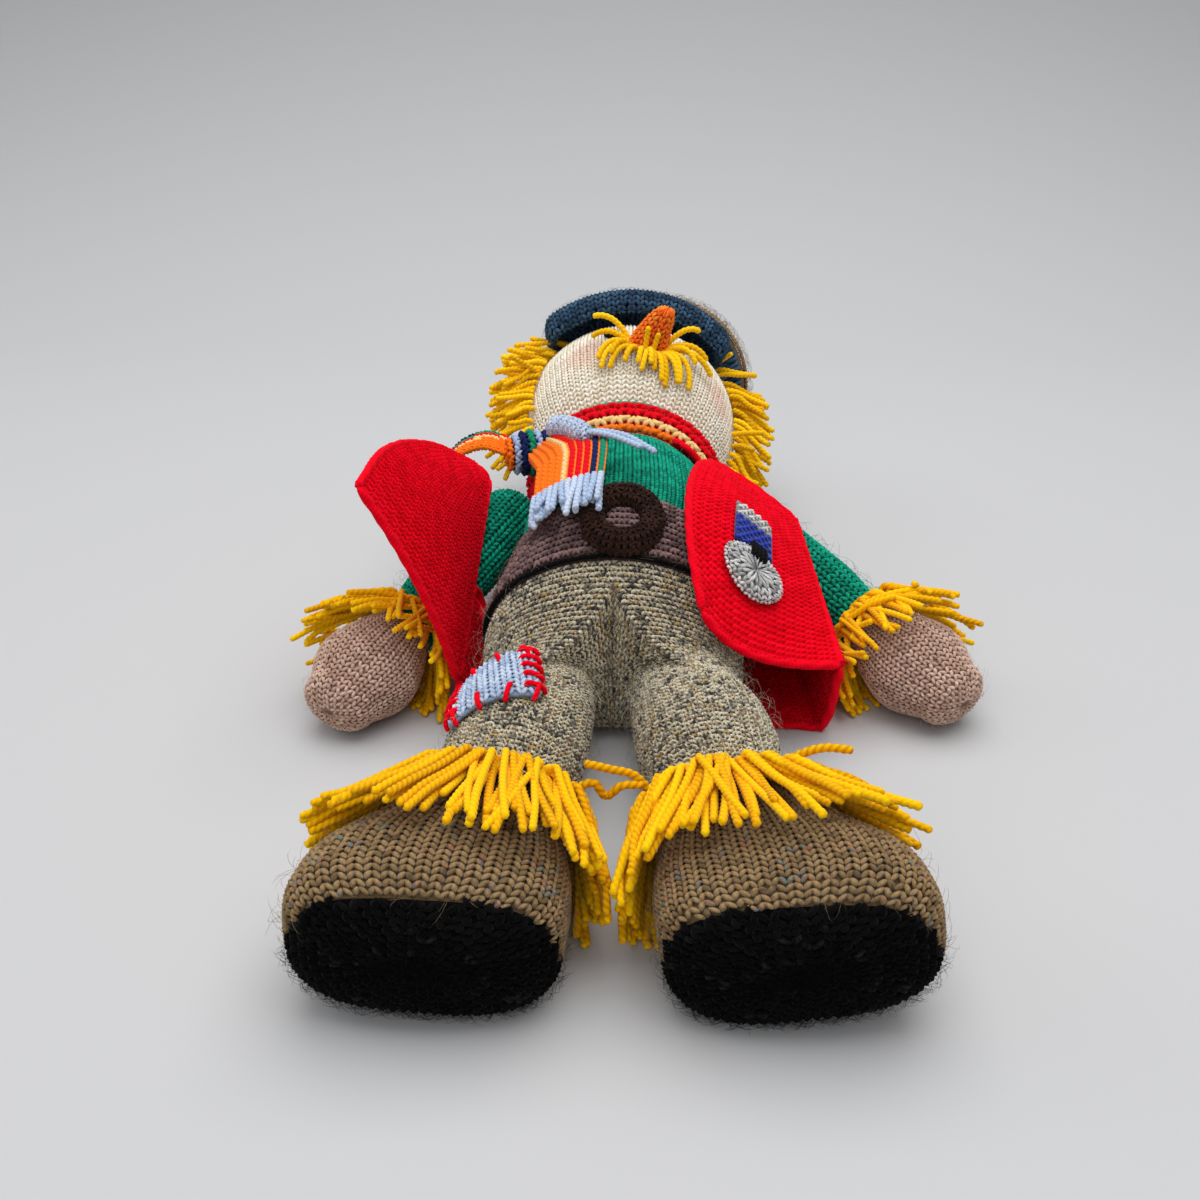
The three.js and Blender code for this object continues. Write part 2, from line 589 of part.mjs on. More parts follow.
const hairRow = (side) => (t) => ({ y: mix(0.15, 0.68, t) * HEAD_LENGTH, angle: side * rad(mix(89, 71, t)) });
function hairStrands(side) {
  return Array.from({ length: 11 }, (_, k) => {
    const t = (k + 0.5) / 11;
    const { y, angle } = hairRow(side)(t);
    const lean = side * rad(5 + 4 * wobble(k));
    const reach = HAIR * (0.85 + 0.12 * wobble(k + 2));
    return [
      head.pointAt(y, angle, GAP + 1.5),
      head.pointAt(y - 2, angle + lean * 0.5, reach * 0.5),
      head.pointAt(Math.max(y - 6, 0.12 * HEAD_LENGTH), angle + lean, reach),
    ];
  });
}
for (const [label, side] of [['right', -1], ['left', 1]]) {
  headGroup.add(piece(`${label}_hair`, headFringe(hairRow(side), hairStrands(side), 1.6), HAIR_GOLD));
}

const lipRow = (t) => ({ y: noseY - NOSE_RADIUS - 2.5, angle: rad(mix(-17, 17, t)) });
const whiskers = Array.from({ length: 9 }, (_, k) => {
  const t = k / 8;
  const { y, angle } = lipRow(t);
  const spread = (t - 0.5) * 2;
  const reach = WHISKER * (0.9 + 0.1 * wobble(k));
  const along = -reach * Math.cos(spread * 1.25);
  const round = (reach * Math.sin(spread * 1.25)) / HEAD_RADIUS;
  return [
    head.pointAt(y, angle, GAP + 1.5),
    head.pointAt(y + along * 0.5, angle + round * 0.5, GAP + 4.6),
    head.pointAt(y + along, angle + round, GAP + 4.2),
  ];
});
headGroup.add(piece('moustache', headFringe(lipRow, whiskers, 1.6), STRAW_YELLOW));

// Hat: a brim with a peak that droops over the face, a band and a hollow crown
const hatY = HEAD_LENGTH * 0.79; // where the brim leaves the head
const hatRadius = head.pointAt(hatY, Math.PI / 2).x;
const hatCentre = spot(0, hatY, headLift);
// Its cross-section: at the peak in shares of reach and droop, elsewhere a roll in shares of its width
const peakShape = [
  [0, -0.07], [0.26, -0.2], [0.57, -0.43], [0.73, -0.68], [0.67, -0.95], [0.75, -1],
  [0.89, -0.82], [1, -0.61], [0.89, -0.32], [0.48, -0.04], [0, 0.06],
];
const rollShape = [
  [0, -0.17], [0.09, -0.3], [0.22, -0.39], [0.35, -0.43], [0.52, -0.46], [0.7, -0.43],
  [0.91, -0.22], [1, 0.1], [0.87, 0.36], [0.5, 0.4], [0, 0.37],
];
const brimInner = hatRadius + GAP + 1.2;
const brimRings = Array.from({ length: 40 }, (_, k) => {
  const angle = (2 * Math.PI * k) / 40;
  const fromTop = THREE.MathUtils.radToDeg(Math.min(angle, 2 * Math.PI - angle));
  const peak = THREE.MathUtils.smoothstep(64 - fromTop, 0, 20);
  return peakShape.map(([reach, droop], n) => {
    const [out, along] = rollShape[n];
    const radius = brimInner + mix(out * BRIM_ROLL, reach * (BRIM_RADIUS - brimInner), peak);
    const drop = mix(along * BRIM_ROLL, droop * BRIM_DROOP, peak);
    return hatCentre.clone().add(spot(radius * Math.sin(angle), drop, radius * Math.cos(angle)));
  });
});
headGroup.add(piece('hat_brim', clearOfHead(hoop(brimRings)), TEAL));

function hatShell(outer, inner, low, high) {
  const lathe = (profile) => turned(profile, 20).rotate([-90, 0, 0]).translate(hatCentre.toArray());
  return between(lathe(outer).subtract(lathe(inner)), low, high);
}
const hatTop = HAT_HEIGHT - hatY;
const crownProfile = (grow) => [
  new THREE.Vector2(0, -6),
  new THREE.Vector2(hatRadius + grow, -6),
  new THREE.Vector2(hatRadius + grow, hatTop * 0.35),
  new THREE.Vector2(hatRadius * 0.93 + grow, hatTop * 0.62),
  new THREE.Vector2(hatRadius * 0.72 + grow, hatTop * 0.83),
  new THREE.Vector2(hatRadius * 0.36 + grow, hatTop * 0.95 - HAT_THICK + grow),
  new THREE.Vector2(0, hatTop - HAT_THICK + grow),
];
const crownLow = hatY + BRIM_ROLL * 0.41 + GAP;
const crown = hatShell(crownProfile(GAP + HAT_THICK), crownProfile(GAP), crownLow, HAT_HEIGHT + HAT_THICK);
headGroup.add(piece('hat_crown', clearOfHead(crown), TEAL));

const bandInner = GAP + HAT_THICK + GAP;
const bandLow = crownLow + BRIM_ROLL * 0.59;
const bandOuter = bandInner + HAT_BAND_THICK;
const hatBand = hatShell(crownProfile(bandOuter), crownProfile(bandInner), bandLow, bandLow + HAT_BAND_WIDTH);
headGroup.add(piece('hat_band', hatBand, BROWN_TWEED));

// Waistcoat: a yoke round the shoulders, the back under the body and two fronts that turn
const yokeRing = body.solid(GAP + WAISTCOAT).subtract(body.solid(GAP));
const yokeLow = NECK_Y - 20;
const yokeBand = between(yokeRing, yokeLow, NECK_Y - SCARF_WIDTH * 0.8 - 2 * GAP);
const frontOpening = turned([
  new THREE.Vector2(0, 0), new THREE.Vector2(2, 0), new THREE.Vector2(torsoWide * 0.8, torsoHigh * 1.6),
  new THREE.Vector2(0, torsoHigh * 1.6),
], 4).translate([0, NECK_Y - 14, NECK_Z]);
trunk.add(piece('waistcoat_yoke', yokeBand.subtract(frontOpening), RED));

// The fold lines on which the fronts turn, each from the hem to the shoulder, as shares of the torso's
// half width, of the way to the shoulders and of the height of the chest
const drape = (x, y, z) => spot(x * torsoWide, y * SHOULDER_Y, z * chestTop);
const leftFold = [drape(1.95, 0.056, 0.401), drape(1.77, 0.839, 0.608)];
const rightFold = [drape(-1.49, 0.129, 0.229), drape(-1.42, 0.976, 0.734)];
const onFold = ([low, high], t) => low.clone().lerp(high, t);

// A front is bowed from its fold line over a middle line to its free edge
function frontPanel(fold, middle, free) {
  const [middleLine, freeLine] = [curve(middle), curve(free)];
  return raised((u, v) => {
    const hinge = onFold(fold, u);
    const bow = follow(middleLine, u);
    const edge = follow(freeLine, u);
    hinge.multiplyScalar((1 - v) ** 2);
    return hinge.addScaledVector(bow, 2 * v * (1 - v)).addScaledVector(edge, v * v);
  });
}
const leftFront = frontPanel(leftFold, [
  drape(0.977, -0.056, 0.447),
  drape(1.186, 0.194, 0.711),
  drape(1.302, 0.468, 0.803),
  drape(1.326, 0.694, 0.803),
  drape(1.349, 0.919, 0.757),
], [
  drape(0.698, -0.016, 0.711),
  drape(0.605, 0.161, 0.894),
  drape(0.605, 0.371, 0.986),
  drape(0.721, 0.677, 0.975),
  drape(0.93, 0.984, 0.837),
]);
const rightFront = frontPanel(rightFold, [
  drape(-1.674, 0.105, 0.734),
  drape(-1.6, 0.363, 0.815),
  drape(-1.55, 0.68, 0.83),
  drape(-1.5, 0.995, 0.77),
], [
  drape(-2.209, 0.097, 1.181),
  drape(-2.14, 0.339, 1.204),
  drape(-1.9, 0.72, 1.05),
  drape(-1.6, 1.01, 0.8),
]);
const leftFrontGroup = bodyGroup('left_front');
const rightFrontGroup = bodyGroup('right_front');
leftFrontGroup.add(piece('waistcoat_left_front', sheet(leftFront, WAISTCOAT, 8, 5), RED));
rightFrontGroup.add(piece('waistcoat_right_front', sheet(rightFront, WAISTCOAT, 8, 5), RED));

// The back lies on the floor and turns up at each side to the fold lines, as far as the armholes
const floorZ = WAISTCOAT / 2 - FLAT;
function backEdge(fold, t, inwards) {
  const along = t * 0.95;
  const onSeam = onFold(fold, Math.min(along, SIDE_TOP));
  onSeam.z -= SEAM + WAISTCOAT * 0.18;
  if (along <= SIDE_TOP) return onSeam;
  const share = (along - SIDE_TOP) / (0.95 - SIDE_TOP);
  const y = mix(onSeam.y + 14, yokeLow - 4, share);
  return spot(inwards * torsoWide * mix(1.2, 0.8, share), y, WAISTCOAT);
}
const backSurface = raised((u, v) => {
  const t = THREE.MathUtils.clamp(u, 0, 1);
  const right = backEdge(rightFold, t, -1);
  const left = backEdge(leftFold, t, 1);
  const middleY = mix(20, yokeLow - 6, t);
  const line = curve([
    right,
    spot(right.x * 0.9, mix(right.y, middleY, 0.4), floorZ),
    spot(right.x * 0.45, mix(right.y, middleY, 0.8), floorZ),
    spot(left.x * 0.45, mix(left.y, middleY, 0.8), floorZ),
    spot(left.x * 0.86, mix(left.y, middleY, 0.6), floorZ),
    left,
  ]);
  return follow(line, v);
});
trunk.add(piece('waistcoat_back', onFloor(sheet(backSurface, WAISTCOAT, 9, 10), trunk), RED));

// Medal sewn on the left front: a two-colour ribbon and a padded disc with a stitched mark
const panelLong = leftFold[0].distanceTo(leftFold[1]);
const panelWide = torsoWide * 1.58;
const onPanel = (x, y, height) => (
  leftFront(0.26 + y / panelLong, 0.57 + x / panelWide, WAISTCOAT / 2 + GAP + height)
);
function strip(low, high) {
  const place = (u, v, height) => (
    onPanel((v - 0.5) * RIBBON_WIDTH, mix(low, high, u), RIBBON_THICK / 2 + height)
  );
  return sheet(place, RIBBON_THICK, 2, 3, 1);
}
const discProfile = [[0.6, 0], [1, 0.3], [0.96, 0.75], [0.7, 1]];
const discRings = discProfile.map(([radius, height]) => Array.from({ length: 18 }, (_, k) => {
  const turn = (2 * Math.PI * k) / 18;
  const [x, y] = [radius * DISC_RADIUS * Math.cos(turn), radius * DISC_RADIUS * 0.88 * Math.sin(turn)];
  return onPanel(x, y, height * DISC_THICK);
}));
const ribbonLow = DISC_RADIUS + 2 * GAP;
const bandTop = ribbonLow + 9;
leftFrontGroup.add(piece('medal_disc', loft(discRings, onPanel(0, 0, 0), onPanel(0, 0, DISC_THICK)), GREY));
leftFrontGroup.add(piece('medal_band', strip(ribbonLow, bandTop), BLUE));
leftFrontGroup.add(piece('medal_ribbon', strip(bandTop + GAP, bandTop + 8), GREY));
const markPlace = (u, v, height) => onPanel((v - 0.5) * 7, mix(3, 9, u), DISC_THICK + GAP + 0.6 + height);
leftFrontGroup.add(piece('medal_mark', sheet(markPlace, 1, 2, 2, 1), BLACK));

// Scarf: a collar that slopes from the chest up to the chin, and a knot beside the neck
const collarInner = torsoWide * 0.815;
const collarShape = [
  [-1.22, -0.67, -1, -1], [-0.5, -0.77, 0, -1], [0.65, -0.27, 1, 0],
  [1.47, 0.2, 1, 0], [1.7, 0.44, 1, 1], [0.47, 0.45, -1, 1],
]; // shares of the scarf's thickness and width, and which way each corner grows
const collarProfile = (grow) => collarShape.map(([out, along, growOut, growAlong]) => (
  [collarInner + out * SCARF + growOut * grow, along * SCARF_WIDTH + growAlong * grow]
));
const roundNeck = (angle, radius, along) => (
  spot(COLLAR_SPREAD * radius * Math.sin(angle), NECK_Y + along, NECK_Z + radius * Math.cos(angle))
);
const collarRings = (grow) => Array.from({ length: 24 }, (_, k) => {
  const angle = (2 * Math.PI * k) / 24;
  return collarProfile(grow).map(([radius, along]) => roundNeck(angle, radius, along));
});
trunk.add(piece('scarf_collar', hoop(collarRings(0)), RED));

const knotY = NECK_Y - 11;
const knotCentre = spot(-torsoWide * 1.02, knotY, NECK_Z + torsoHigh * 0.55);
const knotBall = new Form([
  { at: [knotCentre.x, knotCentre.y - 5, knotCentre.z], wide: 10, high: 9.4 },
  { at: [knotCentre.x, knotCentre.y, knotCentre.z], wide: 11, high: 10.2 },
  { at: [knotCentre.x, knotCentre.y + 5, knotCentre.z], wide: 10, high: 9.4 },
], { startDome: 5.5, endDome: 5.5, around: 12, along: 3 });
const knot = knotBall.solid().subtract(hoop(collarRings(GAP))).subtract(body.solid(GAP + WAISTCOAT + GAP));
trunk.add(piece('scarf_knot', knot, ORANGE));

// The end that hangs in front lies on the chest, with a yarn fringe and a curled light-blue edge
const endTop = knotY - 10.2;
const endLow = endTop - SCARF_END;
const endLift = (u) => GAP + mix(WAISTCOAT + GAP / 2, BELT_THICK + BUCKLE_THICK + 4 * GAP, u * u);
const scarfFront = (u, v, height) => {
  const left = rad(mix(-58, -47, Math.min(1, u * 3)));
  const right = rad(mix(-34, -7, Math.min(1, u * 2)));
  return body.pointAt(mix(endTop, endLow, u), mix(left, right, v), endLift(u) + SCARF / 2 + height);
};
const frontEndGroup = bodyGroup('scarf_front');
frontEndGroup.add(piece('scarf_front_end', sheet(scarfFront, SCARF, 8, 4, 0.7), ORANGE));

const fringeAt = (v, drop, height) => {
  const edge = scarfFront(1, v, height);
  const before = scarfFront(0.95, v, height);
  return edge.add(edge.clone().sub(before).normalize().multiplyScalar(drop));
};
const fringeBar = strand([0.02, 0.35, 0.68, 0.98].map((v) => fringeAt(v, GAP + YARN, 0)), YARN, 3);
const fringeYarns = fan(7, 0.05, 0.95).map((v, k) => strand([
  fringeAt(v, GAP + YARN, 0), fringeAt(v + 0.01 * wobble(k), FRINGE * 0.6, 1.2),
  fringeAt(v + 0.025 * wobble(k), FRINGE * (1 + 0.12 * wobble(k + 4)), 0.6),
], YARN));
frontEndGroup.add(piece('scarf_front_fringe', join([fringeBar, ...fringeYarns]), LIGHT_BLUE));

const curlAt = (along, degrees, height) => (
  body.pointAt(endTop - along, rad(degrees), endLift(along / SCARF_END) + SCARF + GAP + height)
);
const curlPath = [[7, -37], [27, -25], [46, -16]];
const curl = strand(curlPath.map(([along, degrees]) => curlAt(along, degrees, CURL * 0.76)), CURL, 4);
const [curlTip, curlAngle] = curlPath[2];
const curlEnds = [[4, 12], [9, 18]].map(([lean, reach]) => strand([
  curlAt(curlTip - 2, curlAngle, CURL * 0.7), curlAt(curlTip + 6, curlAngle + lean, CURL * 0.7),
  curlAt(curlTip + 6 + reach * 0.6, reach - 7, YARN * 0.6),
], YARN));
frontEndGroup.add(piece('scarf_curled_edge', join([curl, ...curlEnds]), LIGHT_BLUE));

// The other end lies back over the right shoulder
const backSteps = [spot(-10.7, 3, 2), spot(-21, 6, 4), spot(-32, 8, 0), spot(-42, 10, -10)];
const backLine = curve(backSteps.map((step) => step.add(knotCentre)));
const scarfBack = raised((u, v) => follow(backLine, u).add(spot(0, (v - 0.5) * BACK_END_WIDTH, 0)));
const backEndGroup = bodyGroup('scarf_back');
backEndGroup.add(piece('scarf_back_end', sheet(scarfBack, SCARF, 6, 3, 0.7), ORANGE));
const backYarns = fan(5, 0.08, 0.92).map((v, k) => strand([
  scarfBack(1, v, 0).add(spot(-YARN * 0.55, 0, -YARN * 0.6)),
  scarfBack(1, v, 0).add(spot(-5, wobble(k) * 0.8, -9)),
  scarfBack(1, v, 0).add(spot(-8, wobble(k) * 1.5, -15)),
], YARN));
const backBarEnds = [0.05, 0.5, 0.95].map((v) => scarfBack(1, v, 0).add(spot(-YARN * 0.55, 0, -YARN * 0.6)));
backEndGroup.add(piece('scarf_back_fringe', join([strand(backBarEnds, YARN, 2), ...backYarns]), LIGHT_BLUE));

// The whole doll, set down with its bounding box centred on the origin
const doll = new THREE.Group();
doll.name = 'scarecrow_doll';
doll.add(trunk, rightLeg.group, leftLeg.group, rightArm, leftArm, headGroup);
doll.add(leftFrontGroup, rightFrontGroup, frontEndGroup, backEndGroup);
const box = new THREE.Box3().setFromObject(doll, true);
const centre = box.getCenter(new THREE.Vector3());
doll.position.set(-centre.x, -centre.y, -box.min.z);

export default doll;
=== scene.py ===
import math

import bpy
import numpy as np
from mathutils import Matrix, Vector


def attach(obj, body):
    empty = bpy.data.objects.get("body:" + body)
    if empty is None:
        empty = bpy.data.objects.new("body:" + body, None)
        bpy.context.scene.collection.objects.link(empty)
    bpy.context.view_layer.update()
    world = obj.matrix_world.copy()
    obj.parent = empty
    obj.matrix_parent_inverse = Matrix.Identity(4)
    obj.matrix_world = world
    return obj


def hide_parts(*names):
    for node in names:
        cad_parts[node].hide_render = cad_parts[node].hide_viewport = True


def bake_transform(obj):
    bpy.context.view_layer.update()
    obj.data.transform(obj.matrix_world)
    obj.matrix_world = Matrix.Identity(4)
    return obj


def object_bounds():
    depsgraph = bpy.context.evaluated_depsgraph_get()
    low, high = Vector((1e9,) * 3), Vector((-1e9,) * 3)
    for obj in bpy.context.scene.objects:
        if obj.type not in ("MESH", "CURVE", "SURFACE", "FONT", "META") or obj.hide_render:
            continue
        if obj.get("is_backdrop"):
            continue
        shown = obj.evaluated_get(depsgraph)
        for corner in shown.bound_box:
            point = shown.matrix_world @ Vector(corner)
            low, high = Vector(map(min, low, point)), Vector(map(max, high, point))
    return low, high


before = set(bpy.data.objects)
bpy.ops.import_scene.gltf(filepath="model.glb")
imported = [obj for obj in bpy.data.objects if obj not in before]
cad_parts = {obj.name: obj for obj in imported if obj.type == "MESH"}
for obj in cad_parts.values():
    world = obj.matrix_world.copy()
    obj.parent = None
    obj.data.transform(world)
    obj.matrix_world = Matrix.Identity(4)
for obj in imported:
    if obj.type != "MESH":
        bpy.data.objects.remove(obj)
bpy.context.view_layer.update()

# Camera
# It stands low beyond the doll's feet and looks along its body towards the head.
bpy.ops.object.select_all(action="DESELECT")
CAMERA_AT = (-0.00203, -0.46268, 0.263)
CAMERA_TURN = [math.radians(degrees) for degrees in (63, 0, 1.72)]
bpy.ops.object.camera_add(location=CAMERA_AT, rotation=CAMERA_TURN)
camera = bpy.context.object
camera.data.sensor_width = 36
camera.data.lens = 36
camera.data.clip_start = 0.01
bpy.context.scene.camera = camera

# Floor and light
# A pale sheet that runs up into a backdrop, under one wide soft lamp overhead and weaker ones at the sides.


class Shade:
    """A socket of a material's nodes. Sums on it add Math nodes, and node() adds any other node."""

    def __init__(self, tree, socket=None):
        self.tree = tree
        self.socket = socket

    def node(self, kind, settings=None, inputs=None, output=0):
        made = self.tree.nodes.new(kind)
        for name, value in (settings or {}).items():
            if name == "stops":
                ramp = made.color_ramp.elements
                ramp.remove(ramp[1])
                ramp[0].position, ramp[0].color = value[0][0], (*value[0][1], 1)
                for position, colour in value[1:]:
                    ramp.new(position).color = (*colour, 1)
            elif name == "interpolation" and hasattr(made, "color_ramp"):
                made.color_ramp.interpolation = value
            else:
                setattr(made, name, value)
        for key, value in (inputs or {}).items():
            if isinstance(value, Shade):
                self.tree.links.new(value.socket, made.inputs[key])
            else:
                made.inputs[key].default_value = value
        return Shade(self.tree, made.outputs[output])

    def maths(self, operation, a, b):
        return self.node("ShaderNodeMath", {"operation": operation}, {0: a, 1: b})

    def __add__(self, other):
        return self.maths("ADD", self, other)

    def __sub__(self, other):
        return self.maths("SUBTRACT", self, other)

    def __rsub__(self, other):
        return self.maths("SUBTRACT", other, self)

    def __mul__(self, other):
        return self.maths("MULTIPLY", self, other)

    __radd__ = __add__
    __rmul__ = __mul__


def paint(code):
    """The linear colour of a six-digit colour code."""
    values = [int(code[k:k + 2], 16) / 255 for k in (0, 2, 4)]
    return tuple(v / 12.92 if v < 0.04045 else ((v + 0.055) / 1.055) ** 2.4 for v in values)


SWEEP_WIDTH, SWEEP_DEPTH = 6.0, 3.2
BACKDROP_RISE = (0, 0.5, 2.4)
bpy.ops.mesh.primitive_plane_add(size=1)
floor = bpy.context.object
floor.name = "floor"
floor.scale = (SWEEP_WIDTH, SWEEP_DEPTH, 1)
floor.location = (0, -0.2, 0)
bpy.ops.object.transform_apply(location=True, scale=True)
bpy.ops.object.mode_set(mode="EDIT")
bpy.ops.mesh.select_mode(type="EDGE")
bpy.ops.mesh.select_all(action="DESELECT")
bpy.ops.object.mode_set(mode="OBJECT")
back_edge = max(floor.data.edges, key=lambda e: sum(floor.data.vertices[v].co.y for v in e.vertices))
back_edge.select = True
bpy.ops.object.mode_set(mode="EDIT")
bpy.ops.mesh.extrude_region_move(TRANSFORM_OT_translate={"value": BACKDROP_RISE})
bpy.ops.object.mode_set(mode="OBJECT")
bend = floor.modifiers.new("sweep", "BEVEL")
bend.width = 0.9
bend.segments = 16
bpy.ops.object.modifier_apply(modifier=bend.name)
bpy.ops.object.shade_smooth()
sheet_paint = bpy.data.materials.new("pale_sheet")
sheet_paint.use_nodes = True
sheet_shader = sheet_paint.node_tree.nodes["Principled BSDF"]
sheet_tones = Shade(sheet_paint.node_tree)
sheet_where = sheet_tones.node("ShaderNodeTexCoord", output=3)
sheet_height = sheet_tones.node("ShaderNodeSeparateXYZ", inputs={0: sheet_where}, output=2)
# Painted shade: the sheet's colour darkens with height, standing in for the light falling off towards the top
# of the backdrop.
backdrop_painted_shade = sheet_tones.node("ShaderNodeMix", {"data_type": "RGBA", "clamp_factor": True}, {
    0: sheet_height * 3.0, 6: (*paint("c2c2c3"), 1), 7: (*paint("a9a9ab"), 1)}, output=2)
sheet_paint.node_tree.links.new(backdrop_painted_shade.socket, sheet_shader.inputs["Base Color"])
sheet_shader.inputs["Roughness"].default_value = 0.6
sheet_shader.inputs["Specular IOR Level"].default_value = 0.2
floor.data.materials.append(sheet_paint)
floor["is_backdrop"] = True

world = bpy.data.worlds.new("soft_room")
bpy.context.scene.world = world
world.use_nodes = True
world.node_tree.nodes["Background"].inputs["Color"].default_value = (0.95, 0.97, 1.0, 1)
world.node_tree.nodes["Background"].inputs["Strength"].default_value = 0.35
for name, place, turn, size, power in (
    ("overhead_lamp", (0.1, 0.1, 1.3), (-2, 5, 0), 1.5, 19.5),
    ("front_lamp", (-0.25, -1.35, 0.95), (57, 0, -10), 1.2, 5.0),
    ("side_lamp", (-1.3, 0.2, 0.8), (0, -60, 0), 0.9, 3),
):
    bpy.ops.object.light_add(type="AREA", location=place, rotation=[math.radians(d) for d in turn])
    lamp = bpy.context.object
    lamp.name = name
    lamp.data.size = size
    lamp.data.energy = power
bpy.context.scene.view_settings.view_transform = "Standard"

# Boots and soles
# Each foot is a stuffed, knitted tube: a brown flecked tweed upper in plain stitches, and a black
# brushed sole at the toe end. The foot has flopped outwards on the floor.
MM = 0.001
HIPS = np.array((-0.0065287, -0.073675, 0.0))
OFF_FLOOR = 0.2
SIDES = {"right": -1, "left": 1}


def in_frame(points):
    """Points in the doll's own millimetres, kept off the floor, in the metres of the shared frame."""
    points = np.array(points, float)
    points[..., 2] = np.maximum(points[..., 2], OFF_FLOOR)
    return points * MM + HIPS


def steps_of(points):
    """The lengths of the steps between the points of a line."""
    return np.linalg.norm(np.diff(points, axis=0), axis=1)


def shares_of(steps):
    """How far along the whole line each of its points lies, from 0 to 1."""
    return np.concatenate(([0], np.cumsum(steps))) / steps.sum()


def curve_weights(t):
    """The weights of the start, the slope there, the end and the slope there, at t between two knots."""
    return 2 * t**3 - 3 * t**2 + 1, t**3 - 2 * t**2 + t, 3 * t**2 - 2 * t**3, t**3 - t**2


def smooth(at, knots, values):
    """A smooth curve through values at knots, read at each of the points at."""
    knots = np.asarray(knots, float)
    values = np.asarray(values, float)
    slopes = np.gradient(values, knots, axis=0)
    at = np.clip(at, knots[0], knots[-1])
    k = np.clip(np.searchsorted(knots, at) - 1, 0, len(knots) - 2)
    width = knots[k + 1] - knots[k]
    t = (at - knots[k]) / width
    if values.ndim > 1:
        t = t[..., None]
        width = width[..., None]
    a, b, c, d = curve_weights(t)
    return a * values[k] + b * width * slopes[k] + c * values[k + 1] + d * width * slopes[k + 1]


def along_curve(points, t):
    """Points on a smooth curve through given ones, for t from 0 to 1 by length, straight on past the ends."""
    points = np.asarray(points, float)
    knots = shares_of(steps_of(points))
    inside = np.clip(t, 0, 1)
    line = smooth(inside, knots, points)
    lead = np.where(np.asarray(t) < 0.5, 0, 1)
    directions = np.stack([(points[1] - points[0]) / knots[1], (points[-1] - points[-2]) / (1 - knots[-2])])
    return line + (np.asarray(t) - inside)[..., None] * directions[lead]


class StuffedForm:
    """A stuffed tube with upright oval sections, rounded at its ends. u runs along it, and v round it from
    the top towards the doll's left. Stations hold y, x, z, half width, half height and roll, in millimetres
    and degrees. A power above 2 squares off the sections at the start."""

    def __init__(self, stations, start_dome=0, end_dome=0, turn=None, at=(0, 0, 0), power=2.0):
        self.stations = np.array(stations, float)
        self.power = power
        self.turn = np.eye(3) if turn is None else turn
        self.at = np.array(at, float)
        self.low, self.high = self.stations[0, 0], self.stations[-1, 0]
        heights = [np.linspace(self.low, self.high, 240)]
        scales = [np.ones(240)]
        swell = np.linspace(0, np.pi / 2, 40)
        if start_dome:
            heights.insert(0, self.low - start_dome * np.sin(swell[:0:-1]) ** 0.8)
            scales.insert(0, np.cos(swell[:0:-1]) ** 0.8)
        if end_dome:
            heights.append(self.high + end_dome * np.sin(swell[1:]) ** 0.8)
            scales.append(np.cos(swell[1:]) ** 0.8)
        self.heights = np.concatenate(heights)
        self.scales = np.concatenate(scales)
        radius = self.sections(self.heights)[:, 2:4].mean(axis=1) * self.scales
        self.track = shares_of(np.hypot(np.diff(self.heights), np.diff(radius)))

    def sections(self, y):
        return smooth(y, self.stations[:, 0], self.stations[:, 1:])

    def u_at(self, y):
        return float(np.interp(y, self.heights, self.track))

    def place(self, u, v, grow=0.0):
        y = np.interp(u, self.track, self.heights)
        scale = np.interp(u, self.track, self.scales)
        x, z, wide, high, roll = np.moveaxis(self.sections(y), -1, 0)
        roll = np.radians(roll)
        a, b = np.sin(2 * np.pi * v), np.cos(2 * np.pi * v)
        along = np.clip((y - self.low) / (0.45 * (self.high - self.low)), 0, 1)
        power = self.power + (2 - self.power) * along
        corner = (np.abs(a) ** power + np.abs(b) ** power) ** (-1 / power)
        a = scale * corner * (wide + grow) * a
        b = scale * corner * (high + grow) * b
        across = x + a * np.cos(roll) - b * np.sin(roll)
        upward = z + a * np.sin(roll) + b * np.cos(roll)
        return in_frame(np.stack([across, y, upward], -1) @ self.turn.T + self.at)


def grown(place, by):
    """The same surface, grown outwards by some millimetres."""
    return lambda u, v: place(u, v, by)


def facing(place, u, v):
    """The outward directions of a surface."""
    step = 0.003
    along = place(u + step, v) - place(u - step, v)
    across = place(u, v + step) - place(u, v - step)
    normal = np.cross(across, along)
    return normal / np.maximum(np.linalg.norm(normal, axis=-1, keepdims=True), 1e-12)


